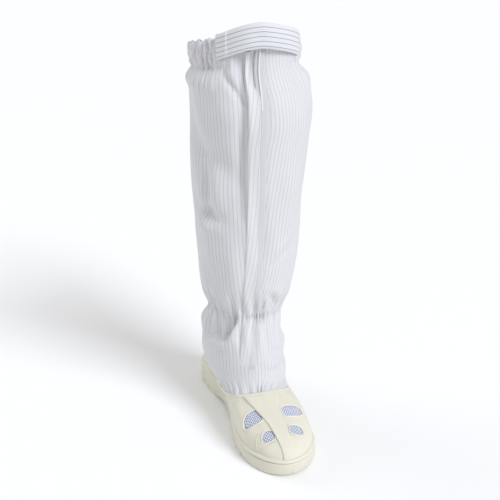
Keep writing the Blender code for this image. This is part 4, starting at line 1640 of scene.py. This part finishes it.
@dataclass
class Upper:
    """Low lasted upper with windows, strip, binding and heel strip."""

    shop: Workshop
    last: Last
    columns: int = 240
    rows: int = 40
    wall: float = 1.6
    waves: tuple[Wave, ...] = (  # soft unevenness of the lasted wall
        Wave(0.25, 5.0, lean=6.0), Wave(0.2, 9.0, lean=-9.0))
    calm_foot: Pair = (0.05, 0.2)  # rise from which the waves begin, and over which
    calm_head: Pair = (0.85, 0.15)  # rise from which they run out, and over which
    crease: Bulge = Bulge(-0.30, 0.86, 0.05, 0.05, -0.9)  # the single dent below the medial topline
    cut: Pair = (-4.0, 3.0)  # depths between which a window's cutter reaches
    cut_points: int = 40  # points around a cutter, and around a window's seam
    mesh: OpenMesh = OpenMesh()
    roll: float = 0.45  # distance of the rolled edge outside a window
    roll_lift: float = 0.05
    roll_radius: float = 0.78
    roll_points: int = 48
    patch_arc: Pair = (128.0, 296.0)  # degrees between which the patch's outline shows
    patch_lift: float = 0.3
    patch_radius: float = 0.55
    seam: float = 1.5
    seam_lift: float = 0.08
    strip: CentreStrip = CentreStrip()
    binding: Binding = Binding()
    heel: HeelStrip = HeelStrip()

    def build(self) -> None:
        """Makes all pieces of the upper."""
        self._wall()
        for window in WINDOWS:
            self._mesh(window)
        self._window_edges()
        self._trims()
        self._stitches()

    def _wall(self) -> None:
        """The wall, with its windows cut through."""
        turn = round_turns(self.columns)[None, :]
        rise = np.linspace(0.0, 1.0, self.rows)[:, None]
        outer = self.last.off(turn, rise, self._dents(turn, rise))
        inner = self.last.off(turn, rise, -self.wall)
        inner[0, :, 2] = outer[0, :, 2]
        wall = self.shop.sheet("upper_wall", outer, inner, True)
        self.shop.cut(wall, self._window_cutter())
        self.shop.hand_over(wall, CREAM, Slot.UPPER, Part.UPPER)

    def _window_cutter(self) -> Piece:
        """Cutter for all windows.

        Returns:
            The cutter, one plug for each window.
        """
        verts: list[Array] = []
        faces: list[tuple[int, ...]] = []
        count = self.cut_points
        for window in WINDOWS:
            turns, rises = self.last.over(*window.loop(1.0, 0.0, count))
            low = len(verts)
            high = low + count + 1
            for distance in self.cut:
                loop = self.last.off(turns, rises, distance)
                verts.extend([*loop, loop.mean(axis=0)])
            for c in range(count):
                d = (c + 1) % count
                faces += [(low + c, low + d, high + d, high + c), (low + d, low + c, low + count),
                          (high + c, high + d, high + count)]
        return self.shop.mesh("window_cutter", np.array(verts), faces)

    def _dents(self, turn: Array, rise: Array) -> Array:
        """Soft unevenness of the lasted wall.

        Args:
            turn: turns around the foot.
            rise: rises up the wall.

        Returns:
            Displacements outwards.
        """
        (foot, foot_rise), (head, head_rise) = self.calm_foot, self.calm_head
        share = smooth((rise - foot) / foot_rise) * (1.0 - smooth((rise - head) / head_rise))
        return share * sum(wave.at(turn, rise) for wave in self.waves) + self.crease.at(turn, rise)

    def _mesh(self, window: Window) -> None:
        """Mesh behind a window: its ground and its strands both ways.

        Args:
            window: the window.
        """
        ground = self.shop.sheet(window.name + "_ground", *self.mesh.ground(self.last, window), True)
        self.shop.hand_over(ground, MESH_CLOTH, Slot.MESH)
        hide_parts(window.name)
        runs = self.mesh.strands(self.last, window)
        self.shop.strands(window.name + "_strands", runs, self.mesh.radius, MESH_STRAND, Slot.MESH)

    def _around(self, window: Window, extra: float, lift: float, count: int) -> Array:
        """Closed line around a window.

        Args:
            window: the window.
            extra: distance outside it.
            lift: height above the upper.
            count: points around it.

        Returns:
            Points, the first one again at the end.
        """
        turns, rises = self.last.over(*window.loop(1.0, extra, count))
        loop = self.last.off(turns, rises, lift)
        return np.concatenate([loop, loop[:1]])

    def _window_edges(self) -> None:
        """Rolled edge of each window and the outline of the patch behind one of them."""
        rolls = [self._around(window, self.roll, self.roll_lift, self.roll_points) for window in WINDOWS]
        self.shop.strands("window_edges", rolls, self.roll_radius, CREAM_ROLL, Slot.UPPER)
        turns, rises = self.last.over(*PATCH.arc(np.radians(np.linspace(*self.patch_arc, 60))))
        outline = self.last.off(turns, rises, self.patch_lift)
        self.shop.strands("patch_outline", [outline], self.patch_radius, CREAM, Slot.UPPER)

    def _trims(self) -> None:
        """Centre strip, topline binding and heel strip."""
        strip = self.shop.sheet("vamp_centre_strip", *self.strip.faces(self.last), False)
        self.shop.hand_over(strip, CREAM_TRIM, Slot.TRIM, Part.STRIP)
        turn = round_turns(self.columns)
        roll = self.shop.sheet("topline_roll", *self.binding.faces(self.last, turn), True)
        self.shop.hand_over(roll, CREAM_TRIM, Slot.TRIM, Part.BINDING)
        heel = self.shop.sheet("heel_back_strip", *self.heel.faces(self.last), False)
        self.shop.hand_over(heel, CREAM_TRIM, Slot.TRIM, Part.HEEL)

    def _stitches(self) -> None:
        """Thread rows of the upper."""
        rows = self.binding.seams(self.last) + self.strip.seams(self.last)
        rows += [self._around(window, self.seam, self.seam_lift, self.cut_points) for window in WINDOWS]
        rows += self.heel.seams(self.last)
        self.shop.beads("upper_stitches", rows, UPPER_STITCH, Slot.TRIM)


@dataclass(frozen=True)
class Band:
    """Strip of cloth along the closing's front line."""

    foot: float
    head: float
    left: float
    right: float
    height: float  # height above the shaft
    narrow: float = 0.0  # how far the lateral edge draws in at the head
    narrow_from: float = 425.0
    narrow_rise: float = 25.0
    stand: float = 0.0  # how far the medial fold stands up
    stand_wide: float = 0.38  # share across over which it does
    stand_from: float = 250.0
    stand_rise: float = 95.0
    ripple: float = 0.0  # size of the lateral edge's ripples
    ripple_length: float = 17.0  # millimetres of height in a radian of them
    start: float = 0.15  # share of the height at the foot
    start_rise: float = 14.0  # height over which the band thickens
    edge: float = 0.35  # share of the height at the edges
    edges_round: float = 8.0  # rounded edges in its width
    seat: float = 0.05
    slant: float = 0.11  # how the cloth's lines lean, in millimetres across for each one of height
    sway: float = 3.0  # how far they wander
    sway_length: float = 50.0  # millimetres of height in a radian of that

    def lateral(self, z: Array) -> Array:
        """Lateral edge at some heights, in millimetres from the front line."""
        return self.right - self.narrow * smooth((z - self.narrow_from) / self.narrow_rise)

    def across(self, z: Array, share: Array) -> Array:
        """Millimetres from the front line by height and share across."""
        return self.left + (self.lateral(z) - self.left) * share

    def lift(self, z: Array, share: Array) -> Array:
        """Height above the shaft.

        Args:
            z: heights.
            share: share across, from the medial edge.

        Returns:
            Millimetres.
        """
        stand = self.stand * bell(share / self.stand_wide) * smooth((z - self.stand_from) / self.stand_rise)
        height = self.height + stand + self.ripple * np.sin(z / self.ripple_length) * share
        height = height * (self.start + (1.0 - self.start) * smooth((z - self.foot) / self.start_rise))
        edge = rounded(np.minimum(share, 1.0 - share) * self.edges_round)
        return height * (self.edge + (1.0 - self.edge) * edge)

    def cloth(self, z: Array, share: Array) -> Array:
        """Cloth coordinates in metres by height and share across."""
        lean = self.slant * (self.head - z) + self.sway * np.sin(z / self.sway_length)
        return np.stack(np.broadcast_arrays(self.across(z, share) + lean, z), axis=-1) * MM


@dataclass
class Strap:
    """Hook-and-loop strap across the head of the closing, bowed off the collar between its ends."""

    shop: Workshop
    leg: Leg
    width: float = 27.0
    thick: float = 1.8
    edge: float = 0.4  # share of the thickness at the edges
    edges_round: float = 14.0  # rounded edges in the width
    start: float = -0.285  # turn of the sewn end
    span: float = 0.545  # turns to the free end
    ends: float = 480.3  # height of the middle of both ends
    rise: float = 13.7  # how much higher the crown stands
    crown: float = 0.46  # share of the length from the sewn end to the crown
    curve: float = 1.3  # how softly the strap leaves its crown
    below: float = 19.5  # how far below its middle the collar is looked at to stay clear of it
    clear: float = 0.75  # gap to the collar at the ends
    bow: float = 6.1  # how much more of it at the crown
    cup: float = 1.6  # how far the strap bows across its width
    dent: Bulge = Bulge(0.42, -0.05, 0.07, 0.28, 1.7)  # by shares of the length and the width
    fold: float = 0.9  # thickness added where the sewn end is folded under
    fold_end: float = 0.12  # share of the length where that ends
    fold_step: float = 0.008  # share of the length over which it ends
    length: float = 120.0
    line_shift: float = 3.3  # where the cloth's lines lie across it
    columns: int = 61
    rows: int = 13
    seams: tuple[int, int] = (6, 60)  # columns of the seams
    seam_lift: float = 0.05

    def build(self) -> None:
        """Makes the strap and its seams."""
        share = np.r_[np.linspace(0.0, 1.0, self.columns), self.fold_end - self.fold_step, self.fold_end]
        share = np.sort(share)[None, :]
        side = np.linspace(-0.5, 0.5, self.rows)[:, None]
        bow = self._bow(share)
        turn = self.start + self.span * share
        middle = self.ends + self.rise * bow
        base = self.leg.smooth_point(turn, self.leg.level(self.ends))
        axis = np.array([*self.leg.sections.rows[-1][1:3], 0.0])
        away = unit((base - axis) * FLAT)
        behind = [self.leg.smooth_point(turn, self.leg.level(z)) for z in (middle - self.below, middle)]
        push = np.max([np.sum((point - base) * away, axis=-1) for point in behind], axis=0)
        stand = self.clear + self.bow * bow + push
        hollow = self.cup * (1.0 - 4.0 * side ** 2) * bow - self.dent.at(share, side)
        inner = base + away * (stand + hollow)[..., None]
        inner[..., 2] = middle + side * self.width
        outer = inner + away * self._thickness(share, side)[..., None]
        cloth = np.broadcast_arrays(side * self.width + self.line_shift, share * self.length)
        band = self.shop.sheet("collar_strap_band", outer, inner, False, np.stack(cloth, axis=-1) * MM)
        self.shop.hand_over(band, STRAP_CLOTH, Slot.STRAP, Part.STRAP)
        rows = [outer[1:-1, place] + away[0, place] * self.seam_lift for place in self.seams]
        self.shop.beads("strap_stitches", rows, STRAP_STITCH, Slot.STRAP)

    def _bow(self, share: Array) -> Array:
        """Bow of the strap, 0 at its ends and 1 at its crown.

        Args:
            share: shares of the length.

        Returns:
            Shares of the bow.
        """
        rising = np.sin(0.5 * np.pi * np.clip(share / self.crown, 0.0, 1.0)) ** self.curve
        falling = 1.0 - np.clip((share - self.crown) / (1.0 - self.crown), 0.0, 1.0) ** self.curve
        return np.where(share < self.crown, rising, falling)

    def _thickness(self, share: Array, side: Array) -> Array:
        """Thickness by shares of length and width, with rounded edges and the folded end."""
        edge = self.edge + (1.0 - self.edge) * rounded((0.5 - np.abs(side)) * self.edges_round)
        return self.thick * edge + self.fold * smooth((self.fold_end - share) / self.fold_step)


@dataclass
class Shaft:
    """Cloth leg with its front closing."""

    shop: Workshop
    leg: Leg
    columns: int = 380
    hem: float = -0.6
    rows: tuple[float, ...] = (84.0, 184.0, 426.0, 480.5)
    counts: tuple[int, ...] = (4, 25, 55, 75, 33)  # rows of the hem, the instep and each of those stretches
    thin: float = 0.8  # thickness of the cloth
    inner_step: int = 4  # outer rows to one inner row
    row_length: float = 2.2  # length of cloth in one row
    even: Pair = (168.0, 405.0)  # heights between which the lines follow the leg's girth
    flat: Pair = (0.47, 0.47)
    lap: Band = Band(90.0, 468.0, -10.4, 4.6, 1.5, narrow=9.5, stand=3.8, ripple=0.25)
    tape: Band = Band(86.0, 468.0, 3.6, 11.4, 1.1)
    coil: Triple = (434.0, 468.0, -0.6)  # foot, head and place beside the front line
    coil_lift: float = 0.6
    # The welt's paler colour is a painted highlight on the lap's folded edge.
    welt: Triple = (416.0, 470.0, 5.0)  # the same for the welt beside the coil
    welt_lift: float = 1.2
    welt_radius: float = 0.9
    seams: Pair = (13.0, 15.5)  # where the closing's seams lie from the front line
    seam_heights: Pair = (92.0, 466.0)
    seam_lift: float = 0.15
    lap_seam: float = 1.8  # distance of the lap's seam from its lateral edge
    lap_seam_lift: float = 1.65
    casing: float = 453.0  # height of the collar's seam
    casing_turns: Pair = (0.12, 1.72)
    casing_lift: float = 0.1
    tacks: tuple[float, ...] = (88.0, 89.2, 90.4)  # heights of the stitches that hold the tape's foot
    tack_span: Pair = (4.6, 11.4)  # edges between which they run
    tack_lift: float = 1.2

    def build(self) -> None:
        """Makes all pieces of the shaft."""
        cloth = self._cloth()
        Strap(self.shop, self.leg).build()
        self._band("zip_cover_lap", self.lap, LAP_CLOTH, Slot.LAP, Part.LAP)
        self._band("zip_tape_strip", self.tape, ZIP_TAPE, Slot.ZIP, Part.ZIP)
        self._coil()
        self._stitches()

    def _levels(self) -> Array:
        """Levels of the rows, close together where the cloth is gathered.

        Returns:
            Levels from the hem to the rim.
        """
        stops = [self.hem, 0.0, *self.leg.level(np.array(self.rows))]
        runs = [np.linspace(low, high, count, endpoint=False)
                for low, high, count in zip(stops[:-1], stops[1:], self.counts)]
        return np.r_[np.concatenate(runs), stops[-1]]

    def _cloth(self) -> Piece:
        """The leg's cloth.

        Returns:
            The piece.
        """
        turn = np.linspace(-1.0, 1.0, self.columns + 1)[None, :]
        levels = self._levels()
        outer = self.leg.off(turn[:, :-1], levels[:, None], 0.0)
        picked = np.r_[np.arange(0, len(levels) - 1, self.inner_step), len(levels) - 1]
        inner = self.leg.off(turn[:, :-1], levels[picked][:, None], -self.thin)
        up = np.arange(len(levels))[:, None] * self.row_length
        cloth = np.broadcast_arrays(self._cloth_across(turn, self.leg.height(levels)[:, None]), up)
        piece = self.shop.sheet("shaft_cloth", outer, inner, True, np.stack(cloth, axis=-1) * MM)
        self.shop.hand_over(piece, CLOTH, Slot.SHAFT, Part.SHAFT)
        return piece

    def _cloth_across(self, turn: Array, z: Array) -> Array:
        """Cloth coordinate around the leg: two panels, each measured from its own middle.

        Args:
            turn: turns around the leg, from -1 to 1.
            z: heights.

        Returns:
            Millimetres across the cloth.
        """
        z = np.clip(z, *self.even)
        panel = np.where(turn >= self.leg.front.at(z, 1), turn - 0.5, turn + 0.5)
        return panel * self.leg.half_girth(z)

    def _beside(self, z: Array, distance: Array, lift: Array) -> Array:
        """Points beside the closing's front line, by height, distance to the lateral side and lift."""
        turn = self.leg.front.at(z, 1) + distance / self.leg.half_girth(z)
        return self.leg.off(turn, self.leg.level(z), lift)

    def _band(self, name: str, band: Band, finish: Finish, slot: Slot, node: Part) -> None:
        """Strip of cloth along the front line.

        Args:
            name: piece name.
            band: its shape.
            finish: its finish.
            slot: its slot.
            node: its CAD node.
        """
        share = np.linspace(0.0, 1.0, 13)[None, :]
        z = np.linspace(band.foot, band.head, 150)[:, None]
        distance = band.across(z, share)
        outer = self._beside(z, distance, band.lift(z, share))
        inner = self._beside(z, distance, band.seat)
        piece = self.shop.sheet(name, outer, inner, False, band.cloth(z, share))
        self.shop.hand_over(piece, finish, slot, node)

    def _coil(self) -> None:
        """Zip coil where it shows under the strap, and the welt beside it, whose paler colour is a painted
        highlight on the lap's folded edge.
        """
        foot, head, distance = self.coil
        run = self._beside(np.linspace(foot, head, 40), distance, self.coil_lift)
        self.shop.beads("zip_coil", [run], ZIP_TOOTH, Slot.ZIP)
        foot, head, distance = self.welt
        run = self._beside(np.linspace(foot, head, 50), distance, self.welt_lift)
        self.shop.strands("zip_welt", [run], self.welt_radius, LAP_EDGE_HIGHLIGHT, Slot.ZIP)

    def _stitches(self) -> None:
        """Thread rows of the closing and of the collar's casing."""
        z = np.linspace(*self.seam_heights, 240)
        rows = [self._beside(z, distance, self.seam_lift) for distance in self.seams]
        rows.append(self._beside(z, self.lap.lateral(z) - self.lap_seam, self.lap_seam_lift))
        turn = wrapped(np.linspace(*self.casing_turns, 400))
        rows.append(self.leg.off(turn, self.leg.level(self.casing), self.casing_lift))
        tack = np.linspace(*self.tack_span, 8)
        rows += [self._beside(np.full_like(tack, height), tack, self.tack_lift) for height in self.tacks]
        self.shop.beads("shaft_stitches", rows, SHAFT_STITCH, Slot.SHAFT)


@dataclass(frozen=True)
class Lamp:
    """A soft sun."""

    name: str
    place: Triple
    spread: float
    power: float


@dataclass
class Studio:
    """Pale floor, soft light and the photo's camera, all in metres."""

    shift: Array
    eye: Triple = (-0.32748, -0.78438, 0.59803)
    aim: Triple = (0.004, 0.012, 0.2325)  # point looked at, in the working frame
    lens: float = 759.94  # focal length in pixels of the photo
    photo_width: float = 500.0
    sensor: float = 36.0  # width of the camera's sensor in millimetres
    near: float = 0.02  # nearest distance that the camera sees
    floor_half: float = 12.0
    floor_colour: Triple = (0.93, 0.93, 0.93)
    floor_roughness: float = 0.9
    floor_gloss: float = 0.1
    sky_colour: Triple = (1.0, 0.993, 0.98)
    sky_power: float = 0.60
    lamp_colour: Triple = (0.90, 0.93, 1.0)
    lamp_aim: Triple = (0.0, 0.02, 0.25)  # point that the lamps shine at
    lamps: tuple[Lamp, ...] = (  # soft key from the front right and weak rim light from the back left
        Lamp("key", (0.62, -1.2, 1.35), 0.45, 2.1), Lamp("rim", (-0.95, 1.25, 1.0), 0.7, 0.7))

    def build(self) -> None:
        """Sets the whole stage."""
        self._floor()
        self._surroundings()
        for lamp in self.lamps:
            self._light(lamp)
        self._camera()
        view = bpy.context.scene.view_settings
        view.view_transform = "Standard"
        view.look = "None"

    def _floor(self) -> None:
        """Plain pale floor."""
        data = bpy.data.meshes.new("floor")
        corners = np.array([(-1, -1, 0), (1, -1, 0), (1, 1, 0), (-1, 1, 0)]) * self.floor_half
        data.from_pydata(corners.tolist(), [], [(0, 1, 2, 3)])
        floor = bpy.data.objects.new("floor", data)
        bpy.context.scene.collection.objects.link(floor)
        paint = bpy.data.materials.new("floor_white")
        paint.use_nodes = True
        shader = paint.node_tree.nodes["Principled BSDF"]
        shader.inputs["Base Color"].default_value = (*self.floor_colour, 1.0)
        shader.inputs["Roughness"].default_value = self.floor_roughness
        shader.inputs["Specular IOR Level"].default_value = self.floor_gloss
        data.materials.append(paint)

    def _surroundings(self) -> None:
        """Even pale light from all sides."""
        world = bpy.data.worlds.new("surroundings")
        bpy.context.scene.world = world
        world.use_nodes = True
        back = world.node_tree.nodes["Background"]
        back.inputs["Color"].default_value = (*self.sky_colour, 1.0)
        back.inputs["Strength"].default_value = self.sky_power

    def _light(self, lamp: Lamp) -> None:
        """One lamp.

        Args:
            lamp: its place and strength.
        """
        sun = bpy.data.lights.new(lamp.name, "SUN")
        sun.angle = lamp.spread
        sun.energy = lamp.power
        sun.color = self.lamp_colour
        body = bpy.data.objects.new(lamp.name, sun)
        self._point(body, Vector(lamp.place), Vector(self.lamp_aim))

    def _camera(self) -> None:
        """Camera at the photo's place, turned to frame the one boot."""
        data = bpy.data.cameras.new("camera")
        data.sensor_width = self.sensor
        data.lens = self.lens / self.photo_width * self.sensor
        data.clip_start = self.near
        camera = bpy.data.objects.new("camera", data)
        shift = Vector(self.shift.tolist())
        self._point(camera, Vector(self.eye) + shift, Vector(self.aim) + shift)
        bpy.context.scene.camera = camera

    @staticmethod
    def _point(body: Piece, place: Vector, aim: Vector) -> None:
        """Puts a lamp or camera at a place, turned to a point.

        Args:
            body: the lamp or camera.
            place: where it stands.
            aim: the point.
        """
        body.location = place
        body.rotation_euler = (aim - place).to_track_quat("-Z", "Y").to_euler()
        bpy.context.scene.collection.objects.link(body)


def toe_shift(frame: dict) -> Array:
    """Where the working frame's origin lies in the row frame.

    Args:
        frame: the loaded frame.

    Returns:
        Shift x, y, z in metres, read from the toe's tip of the sole.
    """
    verts = np.array([v.co for v in frame["nodes"][Part.OUTSOLE.value].data.vertices])
    tip = verts[verts[:, 1].argmin()]
    return np.array([tip[0], 0.0, 0.0])


def main() -> None:
    """Builds the boot's looks and the stage."""
    logging.basicConfig(level=logging.INFO, format="%(name)s %(message)s")
    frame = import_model()
    shift = toe_shift(frame)
    shop = Workshop(shift)
    last = Last()
    SoleUnit(shop, last).build()
    Upper(shop, last).build()
    Shaft(shop, Leg(last)).build()
    insole = frame["nodes"][Part.INSOLE.value]
    insole.data.materials.clear()
    insole.data.materials.append(shop.material(INSOLE))
    Studio(shift).build()


if __name__ == "__main__":
    main()
